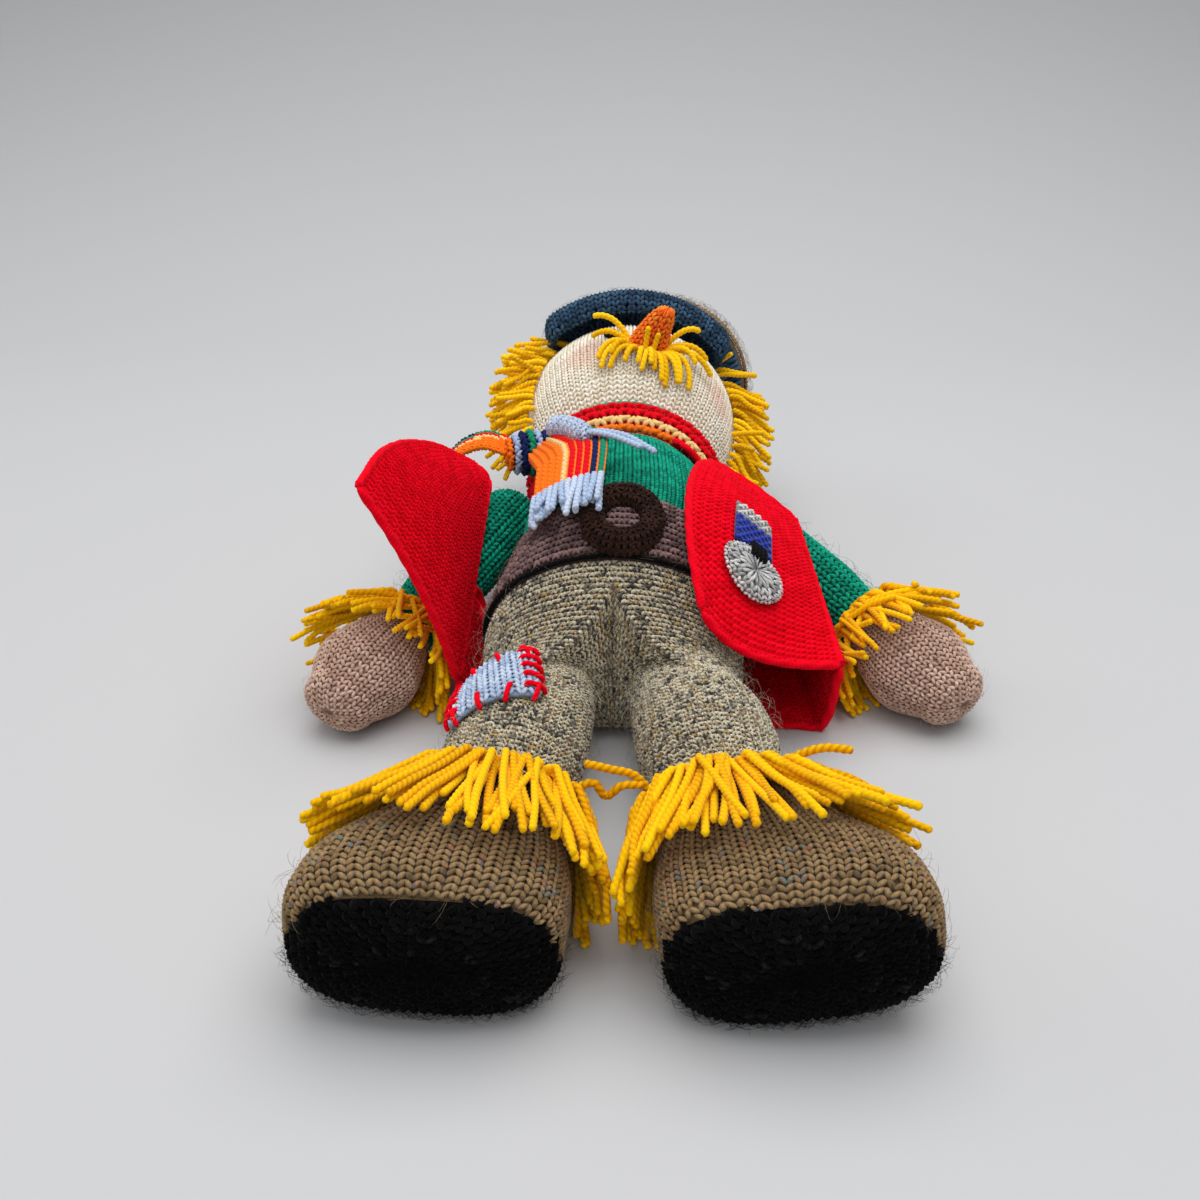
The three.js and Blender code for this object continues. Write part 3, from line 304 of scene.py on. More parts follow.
class Work:
    """Yarn work in progress: points, triangles, the yarn's own coordinates and a shade at each point."""

    def __init__(self):
        self.points, self.faces, self.coords, self.shades = [], [], [], []
        self.count = 0

    def add(self, points, faces, coords, shades):
        self.points.append(points.reshape(-1, 3))
        self.faces.append(faces.reshape(-1, 3) + self.count)
        self.coords.append(coords.reshape(-1, 2))
        self.shades.append(np.broadcast_to(shades, points.shape[:-1]).reshape(-1))
        self.count += points.size // 3

    def piece(self, name, finish):
        points = np.concatenate(self.points)
        points[:, 2] = np.maximum(points[:, 2], OFF_FLOOR * MM)
        faces = np.concatenate(self.faces).astype(np.int32)
        mesh = bpy.data.meshes.new(name)
        mesh.vertices.add(len(points))
        mesh.vertices.foreach_set("co", points.astype(np.float32).ravel())
        mesh.loops.add(faces.size)
        mesh.loops.foreach_set("vertex_index", faces.ravel())
        mesh.polygons.add(len(faces))
        mesh.polygons.foreach_set("loop_start", np.arange(0, faces.size, 3, dtype=np.int32))
        mesh.polygons.foreach_set("use_smooth", np.ones(len(faces), bool))
        coords = mesh.uv_layers.new(name="yarn")
        coords.data.foreach_set("uv", np.concatenate(self.coords).astype(np.float32).ravel())
        shade = mesh.attributes.new("shade", "FLOAT", "POINT")
        shade.data.foreach_set("value", np.concatenate(self.shades).astype(np.float32))
        mesh.update()
        mesh.validate()
        made = bpy.data.objects.new(name, mesh)
        bpy.context.scene.collection.objects.link(made)
        made.data.materials.append(finish)
        return made


def settle(made, body_name, slot, *nodes):
    """Lets a piece ride on a body in place of CAD nodes, which it hides. The slot is not used."""
    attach(made, body_name)
    if nodes:
        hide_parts(*nodes)


def tube_faces(rings, sides):
    """Triangles, and their places along and round, of rings of points that end in a point at each end."""
    faces, coords = [], []
    last = rings * sides + 1
    for k in range(sides):
        after = (k + 1) % sides
        faces.append((0, 1 + after, 1 + k))
        coords.append(((0, k / sides), (1, (k + 1) / sides), (1, k / sides)))
        top = 1 + (rings - 1) * sides
        faces.append((last, top + k, top + after))
        coords.append(((rings + 1, k / sides), (rings, k / sides), (rings, (k + 1) / sides)))
        for ring in range(rings - 1):
            here = 1 + ring * sides
            a, b, c, d = here + k, here + after, here + sides + after, here + sides + k
            low, high, left, right = ring + 1, ring + 2, k / sides, (k + 1) / sides
            faces += [(a, b, c), (a, c, d)]
            coords += [((low, left), (low, right), (high, right)), ((low, left), (high, right), (high, left))]
    coords = np.array(coords, float)
    coords[..., 0] /= rings + 1
    return np.array(faces), coords


ROW_HEIGHT = 0.72


def loop_of_yarn(path, thick):
    """One visible loop of yarn: x across in stitches, y along in rows, z out in stitches."""
    path = np.array(path, float)
    along = np.gradient(path[:, :2] * (1, ROW_HEIGHT), axis=0)
    along /= np.linalg.norm(along, axis=1, keepdims=True)
    points = [path[0]]
    for centre, direction, radius in zip(path[1:-1], along[1:-1], thick):
        for side, out in ((0, 1), (1, 0), (0, -0.7), (-1, 0)):
            shift = (direction[1] * side * radius, -direction[0] * side * radius / ROW_HEIGHT, out * radius)
            points.append(centre + shift)
    points.append(path[-1])
    faces, coords = tube_faces(len(path) - 2, 4)
    return np.array(points), faces, coords


def mirrored(loop):
    """The same loop leaning the other way."""
    points, faces, coords = loop
    return points * (-1, 1, 1), faces[:, ::-1], coords[:, ::-1]


plain_leg = loop_of_yarn(
    [(0.02, -0.2, -0.16), (0.12, 0.14, 0.05), (0.26, 0.56, 0.13), (0.4, 0.98, 0.03), (0.47, 1.34, -0.2)],
    (0.17, 0.22, 0.17),
)
PLAIN = [plain_leg, mirrored(plain_leg)]
PURL_THICK = (0.2, 0.24, 0.2)
PURL = [
    loop_of_yarn([
        (-0.42, -0.2, -0.22), (-0.27, 0.22, 0.02), (0, 0.52, 0.14), (0.27, 0.22, 0.02), (0.42, -0.2, -0.22),
    ], PURL_THICK),
    loop_of_yarn([
        (0.08, 1.2, -0.22), (0.23, 0.78, 0.02), (0.5, 0.48, 0.14), (0.77, 0.78, 0.02), (0.92, 1.2, -0.22),
    ], PURL_THICK),
]


def knit(work, place, ends, width, loops, seed, lift=0.0, keep=None, shade=None, face=1, closed=True,
         brick=False, speckle=0.0):
    """Covers a surface with rows of stitches of one width, from the first to the last u of ends."""
    rng = np.random.default_rng(seed)
    u_fine = np.linspace(ends[0], ends[1], 60)
    lengths = [steps_of(place(u_fine, np.full(60, v))).sum() for v in (0.1, 0.3, 0.6, 0.9)]
    rows = max(1, round(np.mean(lengths) / (width * ROW_HEIGHT)))
    step = (ends[1] - ends[0]) / rows
    v_fine = np.linspace(0, 1, 65)
    u_all, v_all, wide_all, row_all = [], [], [], []
    count = 0
    for row in range(rows):
        u = ends[0] + row * step
        girth = steps_of(place(np.full(65, u + step / 2), v_fine)).sum()
        if count == 0 or not 0.8 < girth / (count * width) < 1.25:
            count = max(3, round(girth / width))
        shift = 0.5 if brick and row % 2 else 0.0
        v_all.append((np.arange(count) + 0.5 + shift) / count)
        u_all.append(np.full(count, u))
        wide_all.append(np.full(count, 1 / count))
        row_all.append(np.full(count, row))
    u, v, wide, row = (np.concatenate(a) for a in (u_all, v_all, wide_all, row_all))
    centres = place(u + step / 2, v)
    chosen = np.ones(len(u), bool) if keep is None else keep(centres)
    if not closed:
        chosen &= v + wide / 2 < 1.0001
    u, v, wide, row, centres = u[chosen], v[chosen], wide[chosen], row[chosen], centres[chosen]
    tone = rng.uniform(0.3, 1.0, len(u)) if shade is None else shade(centres, row, rng)
    for points, faces, coords in loops:
        jitter = rng.normal(0, 0.025, (len(u), 1))
        at_u = u[:, None] + points[None, :, 1] * step
        at_v = v[:, None] + (points[None, :, 0] + jitter) * wide[:, None]
        out = (points[None, :, 2] * width + lift) * face
        made = place(at_u, at_v) + facing(place, at_u, at_v) * out[..., None]
        order = faces if face > 0 else faces[:, ::-1]
        each = np.arange(len(u))[:, None, None] * points.shape[0] + order[None]
        turned = coords if face > 0 else coords[:, ::-1]
        spread = np.broadcast_to(turned, (len(u), *coords.shape))
        loop_tone = (tone + rng.normal(0, speckle * 0.6, len(u)))[:, None]
        grain = rng.normal(0, speckle, (len(u), len(points)))
        work.add(made, each, spread, np.clip(loop_tone + grain, 0, 1))


def skin(work, place, start, end, rows=24, columns=40, shade=0.2):
    """A closed, plain form under the stitches, from start to end, which may differ round it. A low shade
    gives it the dark foot of the yarn's colour ramp: painted shade in the gaps between the stitches.
    """
    v = np.arange(columns) / columns
    share = np.linspace(0, 1, rows)[:, None]
    u = np.broadcast_to(start, columns)[None] * (1 - share) + np.broadcast_to(end, columns)[None] * share
    rings = place(u, np.broadcast_to(v, u.shape))
    points = np.concatenate([rings[0].mean(0)[None], rings.reshape(-1, 3), rings[-1].mean(0)[None]])
    faces, coords = tube_faces(rows, columns)
    work.add(points, faces, coords, np.full(len(points), shade))


def wool(name, stops, interpolation="LINEAR", heather=0.22, ply=0.5, blush=None, sheen=0.25, gloss=0.15):
    """Wool yarn: its colour follows each stitch's shade, its plies and fibres stand out along it, and painted
    shade darkens the grooves between the plies.
    """
    # Most ramps start at a colour far darker than the yarn: painted shade, which the skins under the stitches
    # take and which shows in the gaps between them.
    stops = [(position, paint(code)) for position, code in stops]
    made = bpy.data.materials.new(name)
    made.use_nodes = True
    tree = made.node_tree
    shader = tree.nodes["Principled BSDF"]
    base = Shade(tree)
    where = base.node("ShaderNodeTexCoord", output=3)
    tone = base.node("ShaderNodeAttribute", {"attribute_name": "shade"}, output=2)
    mottle = base.node("ShaderNodeTexNoise", inputs={"Vector": where, "Scale": 700.0, "Detail": 3.0})
    fibre = base.node("ShaderNodeTexNoise", inputs={"Vector": where, "Scale": 2600.0, "Detail": 2.0})
    value = tone + (mottle - 0.5) * heather
    colour = base.node("ShaderNodeValToRGB", {"stops": stops, "interpolation": interpolation}, {0: value})
    if blush:
        colour = blush(base, where, colour)
    yarn = base.node("ShaderNodeUVMap", {"uv_map": "yarn"})
    along = base.node("ShaderNodeSeparateXYZ", inputs={0: yarn}, output=0)
    around = base.node("ShaderNodeSeparateXYZ", inputs={0: yarn}, output=1)
    twist = (along * 2.5 + around * 2.0) * (2 * math.pi)
    turns = base.node("ShaderNodeMath", {"operation": "SINE"}, {0: twist})
    ridge = turns * 0.5 + 0.5
    # Painted shade: the colour is darkened in the grooves between the plies.
    ply_groove_shade = base.node("ShaderNodeMix", {"data_type": "RGBA", "blend_type": "MULTIPLY"},
                       {0: (1 - ridge) * ply, 6: colour, 7: (0.72, 0.72, 0.72, 1)}, output=2)
    height = ridge * ply + fibre * 0.6
    bump = base.node("ShaderNodeBump", inputs={"Strength": 0.6, "Distance": 0.0004, "Height": height})
    tree.links.new(ply_groove_shade.socket, shader.inputs["Base Color"])
    tree.links.new(bump.socket, shader.inputs["Normal"])
    shader.inputs["Roughness"].default_value = 0.85
    shader.inputs["Specular IOR Level"].default_value = gloss
    shader.inputs["Sheen Weight"].default_value = sheen
    shader.inputs["Sheen Roughness"].default_value = 0.5
    return made


def fuzz(work, place, spans, count, length, seed, keep=None, thick=0.00006):
    """Stray fibres that stand out of a surface and curl over; spans are the first and last u and v."""
    rng = np.random.default_rng(seed)
    u = rng.uniform(spans[0], spans[1], count)
    v = rng.uniform(spans[2], spans[3], count)
    root = place(u, v)
    normal = facing(place, u, v)
    if keep is not None:
        chosen = keep(root)
        root, normal = root[chosen], normal[chosen]
    count = len(root)
    reach = length * rng.uniform(0.4, 1.3, (count, 1))
    sway = rng.normal(0, 1, (count, 3))
    sway -= normal * (sway * normal).sum(1, keepdims=True)
    sway /= np.linalg.norm(sway, axis=1, keepdims=True)
    other = np.cross(normal, sway)
    curl = rng.normal(0, 0.5, (count, 1))
    line = [root + reach * (normal * a + sway * b + other * curl * c) for a, b, c in (
        (-0.1, 0, 0), (0.25, 0.15, 0.0), (0.42, 0.45, 0.2), (0.5, 0.8, 0.6), (0.45, 1.05, 1.2))]
    rings = [line[0][:, None]]
    for centre, share in zip(line[1:-1], (1, 0.9, 0.7)):
        rings.append(np.stack([centre + thick * share * (math.cos(a) * normal + math.sin(a) * other)
                               for a in (0, 2.1, 4.2)], 1))
    rings.append(line[-1][:, None])
    points = np.concatenate(rings, 1)
    faces, coords = tube_faces(3, 3)
    each = np.arange(count)[:, None, None] * points.shape[1] + faces[None]
    shades = np.broadcast_to(rng.uniform(0.3, 1, (count, 1)), points.shape[:2])
    work.add(points, each, np.broadcast_to(coords, (count, *coords.shape)), shades)


FOOT_SPACING = 106
ANKLE_SPACING = 77
HIP_SPACING = 57
HIP_SHIFT = -2.5
ANKLE_Y = -76
LEG_TOP = 8
KNEE_RADIUS = 24.9
SOLE_TIP = -145
BOOT_STITCH = 0.0034
SOLE_STITCH = 0.0044
HEM_Y = ANKLE_Y - 6
SOLE_PLANE = np.array((0, 44.2, 11)) / math.hypot(44.2, 11)
boot_wool = wool("brown_tweed_wool", [
    (0.0, "382b1d"), (0.3, "7f6542"), (0.5, "93764e"), (0.7, "a2855c"),
    (0.93, "9b7e56"), (0.96, "b0683a"), (0.985, "566878"), (1.0, "7b8066"),
], heather=0.2, sheen=0.15)
sole_wool = wool("black_brushed_wool", [
    (0.0, "030304"), (0.5, "070708"), (0.97, "101012"), (1.0, "29292a"),
], sheen=0.03, gloss=0.04)


def leg_form(side, roll):
    """A leg with its foot, from the toe to the hip, rolled outwards by some degrees at the foot."""
    hip = HIP_SHIFT + side * HIP_SPACING / 2
    ankle = HIP_SHIFT * 0.4 + side * ANKLE_SPACING / 2
    foot = side * FOOT_SPACING / 2
    stations = []
    for y, x, wide, high, turn in (
        (SOLE_TIP + 16, foot, 40, 26, roll),
        (SOLE_TIP + 28, 0.88 * foot + 0.12 * ankle, 39.2, 26, roll),
        (-100, (foot + ankle) / 2, 31.9, 25, roll / 2),
        (ANKLE_Y, ankle, 23.8, 23.8, 0),
        (ANKLE_Y / 2, (ankle + hip) / 2, KNEE_RADIUS, KNEE_RADIUS, 0),
        (LEG_TOP, hip, 22.6, 22.6, 0),
    ):
        lie = math.hypot(wide * math.sin(math.radians(turn)), high * math.cos(math.radians(turn))) - 0.5
        stations.append((y, x, lie, wide, high, side * turn))
    return StuffedForm(stations, start_dome=16, power=3.0)


legs = {"right": leg_form(-1, 4), "left": leg_form(1, 10)}
sole_level = SOLE_PLANE[1] * (-129 * MM + HIPS[1])


def behind_sole(points):
    """Whether points belong to the brown upper."""
    return points @ SOLE_PLANE > sole_level


def in_sole(points):
    """Whether points belong to the black sole."""
    return ~behind_sole(points)


for label, leg in legs.items():
    ankle_u = leg.u_at(HEM_Y)
    ring = np.arange(40) / 40
    trial = np.linspace(0.001, ankle_u, 400)
    black = np.array([np.count_nonzero(in_sole(leg.place(trial, np.full(400, v)))) for v in ring])
    edge = trial[np.clip(black, 1, 399)]

    boot_work = Work()
    skin(boot_work, grown(leg.place, -1.5), edge, ankle_u, rows=14)
    knit(boot_work, grown(leg.place, -0.9), (0.01, ankle_u), BOOT_STITCH, PLAIN, 11,
         keep=behind_sole, speckle=0.1)
    fuzz(boot_work, leg.place, (0.1, ankle_u, 0, 1), 500, 0.006, 12, keep=behind_sole)
    boot = boot_work.piece(f"{label}_boot_upper", boot_wool)
    settle(boot, f"{label}_leg", "brown_tweed_knit", f"{label}_boot")

    sole_work = Work()
    skin(sole_work, grown(leg.place, -1.2), 0.0, edge, rows=12)
    knit(sole_work, grown(leg.place, -1.0), (0.03, ankle_u), SOLE_STITCH, PLAIN, 13, keep=in_sole)
    fuzz(sole_work, leg.place, (0.0, 0.5, 0, 1), 10000, 0.0042, 14, keep=in_sole, thick=0.00005)
    sole = sole_work.piece(f"{label}_boot_sole", sole_wool)
    settle(sole, f"{label}_leg", "black_knit", f"{label}_sole")

# Trousers
# Two knitted legs in grey flecked tweed with the purl side out, sewn to each other down the middle of the
# seat and stuffed with fibre.
trouser_wool = wool("grey_tweed_wool", [
    (0.0, "33312d"), (0.2, "4f4c47"), (0.36, "8b8475"), (0.55, "beb499"),
    (0.75, "e2d8bd"), (0.88, "bbb196"), (0.94, "5a5856"), (0.97, "9c3f38"),
    (0.985, "4d5f8c"), (1.0, "b9a25a"),
], heather=0.8)
WAIST_Y = 32
CHEST_RADIUS = 43
TROUSER_STITCH = 0.0031
BODY = [
    (-8, HIP_SHIFT, 22.1, 51.1, 22.6, 0),
    (16, HIP_SHIFT, 36.8, 49.5, 31.8, 0),
    (38, HIP_SHIFT / 2, 46, 42.6, 38.2, 0),
    (62, 0, 47.2, CHEST_RADIUS, 40, 0),
    (97.3, 0, 47.2, 42.6, 39.6, 0),
    (126, 0, 47.5, 39.6, 36.8, 0),
    (142, 0, 47.5, 32, 30.4, 0),
    (149, 0, 47.5, 23.7, 22.8, 0),
    (156, 0, 47.5, 15, 14.8, 0),
]
body = StuffedForm(BODY)
seat = StuffedForm([(-36, HIP_SHIFT, 23.6, 52, 24, 0), (-8, HIP_SHIFT, 27, 51.1, 27.2, 0), *BODY[1:4]])


def trouser_place(side, leg, grow=0.0):
    """Half of the seat at the waist, which becomes a round leg below the hips; u runs up from the ankle."""

    def at(y, v):
        share = (v if side > 0 else 1 - v) % 1.0
        x, z, wide, high, _ = np.moveaxis(seat.sections(y), -1, 0)
        angle = np.minimum(share / 0.8, 1.0) * np.pi
        inward = np.clip((share - 0.8) / 0.2, 0, 1)
        half_x = x + side * (wide + grow) * np.sin(angle)
        half_z = z + (high + grow) * (np.cos(angle) + 2 * inward)
        lx, lz, lw, lh, _ = np.moveaxis(leg.sections(np.minimum(y, LEG_TOP)), -1, 0)
        leg_x = lx + side * (lw + grow) * np.sin(2 * np.pi * share)
        leg_z = lz + (lh + grow) * np.cos(2 * np.pi * share)
        inner = np.interp(share, (0.5, 0.68, 0.84, 1.0), (0, 1, 1, 0))
        round_from = 18 - 8 * inner
        round_over = 44 - 32 * inner
        t = np.clip((round_from - y) / round_over, 0, 1)
        t = t * t * (3 - 2 * t)
        return in_frame(np.stack([half_x + t * (leg_x - half_x), y, half_z + t * (leg_z - half_z)], -1))

    levels = np.linspace(HEM_Y, WAIST_Y, 120)
    track = shares_of(steps_of(at(levels, np.full(120, 0.12 * side))))
    return lambda u, v: at(np.interp(u, track, levels), v)


for label, side in SIDES.items():
    work = Work()
    outer = trouser_place(side, legs[label], -0.9)
    skin(work, trouser_place(side, legs[label], -1.7), 0.0, 1.0, rows=40)
    knit(work, outer, (0.0, 1.0), TROUSER_STITCH, PURL, 21 + side, speckle=0.26)
    fuzz(work, trouser_place(side, legs[label]), (0, 1, 0, 1), 900, 0.008, 23 + side, thick=0.00005)
    trousers = work.piece(f"{label}_trousers", trouser_wool)
    hip = in_frame((HIP_SHIFT + side * HIP_SPACING / 2, 0, 25))
    hip + (0, 0.016, 0)
    hip - (0, 0.022, 0)
    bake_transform(trousers)
    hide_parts(f"{label}_trouser_leg", f"{label}_leg_stuffing", "trouser_seat")

# Jumper body
# The green trunk of the doll in plain stitches, filled with fibre and drawn in at the neck.
green_wool = wool("green_wool", [
    (0.0, "043024"), (0.3, "078268"), (0.7, "0c9d80"), (1.0, "14b090"),
], sheen=0.04, gloss=0.05)
JUMPER_STITCH = 0.0035
neck_u = body.u_at(150)
waist_u = body.u_at(28)
jumper_work = Work()
skin(jumper_work, grown(body.place, -1.6), waist_u, neck_u, rows=30)
knit(jumper_work, grown(body.place, -0.9), (waist_u, neck_u), JUMPER_STITCH, PLAIN, 31)
fuzz(jumper_work, body.place, (waist_u, neck_u, -0.25, 0.25), 300, 0.005, 32)
jumper = jumper_work.piece("jumper", green_wool)
settle(jumper, "trunk", "green_knit", "jumper_body", "body_stuffing")

# Belt and buckle
# A soft mauve strip with a black lower edge, and a dark brown knitted ring sewn on it as a buckle.
BELT_LOW, BELT_HIGH = 20.5, 43.5
BELT_STITCH = 0.0036
EDGE_YARN = 0.001
BUCKLE_Y = 30
BUCKLE_RADIUS, BUCKLE_PAD = 9.8, 4.4
BUCKLE_STITCH = 0.0040
mauve_wool = wool("mauve_wool", [
    (0.0, "1a1212"), (0.3, "574242"), (0.6, "785e5d"), (1.0, "987b78"),
], heather=0.7, sheen=0.1, gloss=0.06)
brown_wool = wool("dark_brown_wool", [(0.0, "0d0706"), (0.4, "2b1a15"), (1.0, "3f2820")],
                  heather=0.4, sheen=0.04, gloss=0.04)
belt_ends = (body.u_at(BELT_LOW), body.u_at(BELT_HIGH))
belt_work = Work()
skin(belt_work, grown(body.place, 1.8), *belt_ends, rows=8)
knit(belt_work, grown(body.place, 2.6), belt_ends, BELT_STITCH, PURL, 41)
fuzz(belt_work, grown(body.place, 3.0), (*belt_ends, -0.3, 0.3), 500, 0.004, 42)
belt = belt_work.piece("belt", mauve_wool)
settle(belt, "trunk", "mauve_knit", "waist_belt")


PLIES = 2


def yarn_strand(work, points, radius, rng, sides=6, pitch=0.0023, shade=None):
    """One length of plied yarn through a few points, with its plies twisted round each other and painted
    shade in the grooves between them.
    """
    points = np.asarray(points, float)
    length = steps_of(points).sum()
    rings = max(4, int(length / (pitch / 3.8)))
    share = (np.arange(rings) + 0.5) / rings
    centre = along_curve(points, share)
    along = np.gradient(centre, axis=0)
    along /= np.linalg.norm(along, axis=1, keepdims=True)
    lean = np.array((0.3, 0.2, 1.0)) if abs(along[:, 2]).max() < 0.93 else np.array((1.0, 0.3, 0.1))
    side = np.cross(along, lean)
    side /= np.linalg.norm(side, axis=1, keepdims=True)
    top = np.cross(side, along)
    turn = np.arange(sides) / sides * 2 * np.pi
    twist = share * length / pitch * 2 * np.pi / PLIES + rng.uniform(0, 6)
    wave = np.cos(PLIES * (turn[None] - twist[:, None]))
    lobe = 1 + 0.11 * wave
    taper = np.clip(np.minimum(share, 1 - share) * rings / 1.3 + 0.35, 0, 1)
    ring = radius * lobe * taper[:, None]
    tube = centre[:, None] + ring[..., None] * (np.cos(turn)[None, :, None] * top[:, None]
                                                - np.sin(turn)[None, :, None] * side[:, None])
    ends = along_curve(points, np.array((0.0, 1.0)))
    made = np.concatenate([ends[:1], tube.reshape(-1, 3), ends[1:]])
    faces, coords = tube_faces(rings, sides)
    coords[..., 0] *= length / 0.004
    tone = rng.uniform(0.35, 0.95) if shade is None else shade
    # The shade follows the plies, darker in the grooves between them and lighter on their crests: painted
    # shade and painted highlight.
    work.add(made, faces, coords, np.concatenate([[tone], np.clip(tone + 0.22 * wave, 0, 1).ravel(), [tone]]))


black_wool = wool("black_wool", [(0.0, "040404"), (1.0, "151416")], sheen=0.04, gloss=0.04)
edge_work = Work()
edge_line = body.place(np.full(90, body.u_at(BELT_LOW - 0.8)), np.linspace(0, 1, 90), 1.7)
yarn_strand(edge_work, edge_line, EDGE_YARN, np.random.default_rng(43))
belt_edge = edge_work.piece("belt_edge", black_wool)
settle(belt_edge, "trunk", "black_knit")


def ring_skin(work, place, u_values, columns):
    """A plain form under the stitches of a ring, which closes on itself both ways. Its zero shade is the
    yarn's darkest colour: painted shade in the gaps between the stitches.
    """
    u, v = np.meshgrid(u_values, np.arange(columns) / columns, indexing="ij")
    points = place(u, v)
    here = np.arange(u.size).reshape(u.shape)
    after = np.roll(here, -1, axis=1)
    below, below_after = np.roll(here, -1, axis=0), np.roll(after, -1, axis=0)
    halves = (here, after, below_after), (here, below_after, below)
    faces = np.concatenate([np.stack(corners, -1) for corners in halves])
    work.add(points, faces, np.zeros((*faces.shape, 2)), np.zeros(points.shape[:-1]))


def buckle_place(u, v, grow=0.0):
    """The padded ring on the belt: v runs round the ring, and u over it from its inner to its outer edge."""
    turn = 2 * np.pi * v
    across = -np.cos(np.pi * u)
    radius = BUCKLE_RADIUS + across * (BUCKLE_PAD + grow)
    x, y = radius * np.cos(turn), radius * 0.92 * np.sin(turn)
    height = np.sin(np.pi * np.clip(u, 0, 1)) ** 0.7 * (6.4 + grow)
    centre_u = np.interp(BUCKLE_Y + y, body.heights, body.track)
    return body.place(centre_u, (x + 2) / (2 * np.pi * CHEST_RADIUS), 4.0 + height)


buckle_work = Work()
knit(buckle_work, grown(buckle_place, -0.6), (0.0, 1.0), BUCKLE_STITCH, PURL, 44)
fuzz(buckle_work, buckle_place, (0.1, 0.9, 0, 1), 500, 0.004, 45)
ring_skin(buckle_work, grown(buckle_place, -1.0), np.linspace(0, 1, 8), 36)
buckle = buckle_work.piece("buckle_ring", brown_wool)
settle(buckle, "trunk", "dark_brown_knit", "belt_buckle")

# Sleeves and hands
# Each arm is one stuffed tube sewn on at the shoulder: a green sleeve and a pinkish beige hand like a
# mitten, both in plain stitches.
hand_wool = wool("beige_wool", [
    (0.0, "6a5042"), (0.3, "b8937f"), (0.7, "d2ae9a"), (1.0, "dfbfac"),
])
WRIST_Y = -86
HAND_STITCH = 0.0032
SLEEVE_STITCH = 0.0041
ARM = [
    (-128.4, 0, 0, 15.8, 13.7, 0),
    (-114, 0, 0, 22, 19, 0),
    (-100, 0, 0, 18.9, 17.1, 0),
    (WRIST_Y, 0, 0, 13, 13, 0),
    (-56, 0, 0, 14.9, 14.9, 0),
    (-26, 0, 0, 15.5, 15.5, 0),
    (0, 0, 0, 15.5, 15.5, 0),
]


def turn_about(axis, degrees):
    """The matrix of a turn about one axis."""
    c, s = math.cos(math.radians(degrees)), math.sin(math.radians(degrees))
    return {
        "x": np.array(((1, 0, 0), (0, c, -s), (0, s, c))),
        "y": np.array(((c, 0, s), (0, 1, 0), (-s, 0, c))),
        "z": np.array(((c, -s, 0), (s, c, 0), (0, 0, 1))),
    }[axis]


SHOULDER = (55.84, 124, 40)
ARM_DROP = 10.87
arms = {}
for label, spread in (("right", -24.5), ("left", 35.5)):
    arm_turn = turn_about("z", spread) @ turn_about("x", ARM_DROP)
    arms[label] = StuffedForm(ARM, 9.6, 15.5, arm_turn, (SIDES[label] * SHOULDER[0], *SHOULDER[1:]))
for label, arm in arms.items():
    wrist_u = arm.u_at(WRIST_Y)
    inner = grown(arm.place, -1.6)
    outer = grown(arm.place, -0.9)
    hand_work = Work()
    skin(hand_work, inner, 0.0, wrist_u, rows=16)
    knit(hand_work, outer, (0.015, wrist_u), HAND_STITCH, PLAIN, 51)
    fuzz(hand_work, arm.place, (0, wrist_u, 0, 1), 120, 0.004, 52)
    hand = hand_work.piece(f"{label}_mitten", hand_wool)
    sleeve_work = Work()
    skin(sleeve_work, inner, wrist_u, 1.0, rows=20)
    knit(sleeve_work, outer, (wrist_u, 0.985), SLEEVE_STITCH, PLAIN, 53)
    fuzz(sleeve_work, arm.place, (wrist_u, 0.95, -0.3, 0.3), 260, 0.007, 54)
    sleeve = sleeve_work.piece(f"{label}_jumper_sleeve", green_wool)
    for made, nodes, slot in (
        (hand, [f"{label}_hand"], "hand_knit"),
        (sleeve, [f"{label}_sleeve", f"{label}_arm_stuffing"], "green_knit"),
    ):
        settle(made, f"{label}_arm", slot, *nodes)

# Straw at the ankles and wrists
# Cut lengths of thick yellow yarn, knotted round each ankle and wrist and combed over the foot or hand
# like straw. A few on the left ankle have come loose.
straw_wool = wool("straw_yarn", [
    (0.0, "9c6202"), (0.35, "eaa802"), (0.7, "f8c002"), (1.0, "fecf0a"),
], heather=0.12, ply=0.1, sheen=0.05, gloss=0.06)


def straw(work, form, y, length, radius, angles, drift, flare, seed, stray=9):
    """A fringe round a form: strands start at y and lie towards its far end, drifting sideways by degrees."""
    rng = np.random.default_rng(seed)
    for layer in range(3):
        for angle in angles + rng.uniform(-3, 3, len(angles)):
            lean = math.radians(drift(angle) + rng.normal(0, stray))
            reach = length(angle) * rng.uniform(0.78, 1.1)
            height = 1.2 + radius / MM * (0.4 + 1.5 * layer) + rng.uniform(0, 1.0)
            droop = 0.7 + 0.5 * rng.random()
            lifts = ((0.0, 0.4), (0.05, 1.35), (0.15, 1.3), (0.4, 1.15), (0.72, 1.05), (1.0, droop))
            line = []
            for share, out in lifts:
                along = y + 3.5 - layer * 1.5 - reach * share * math.cos(lean)
                middle = form.sections(np.array(along))
                girth = (middle[2] + middle[3]) / 2
                around = angle + math.degrees(reach * share * math.sin(lean) / girth)
                lift = height * out + flare * share
                line.append(form.place(np.interp(along, form.heights, form.track), around / 360, lift))
            line = np.array(line)
            line[:, 2] = np.maximum(line[:, 2], radius * 1.05)
            yarn_strand(work, line, radius * rng.uniform(0.9, 1.08), rng)


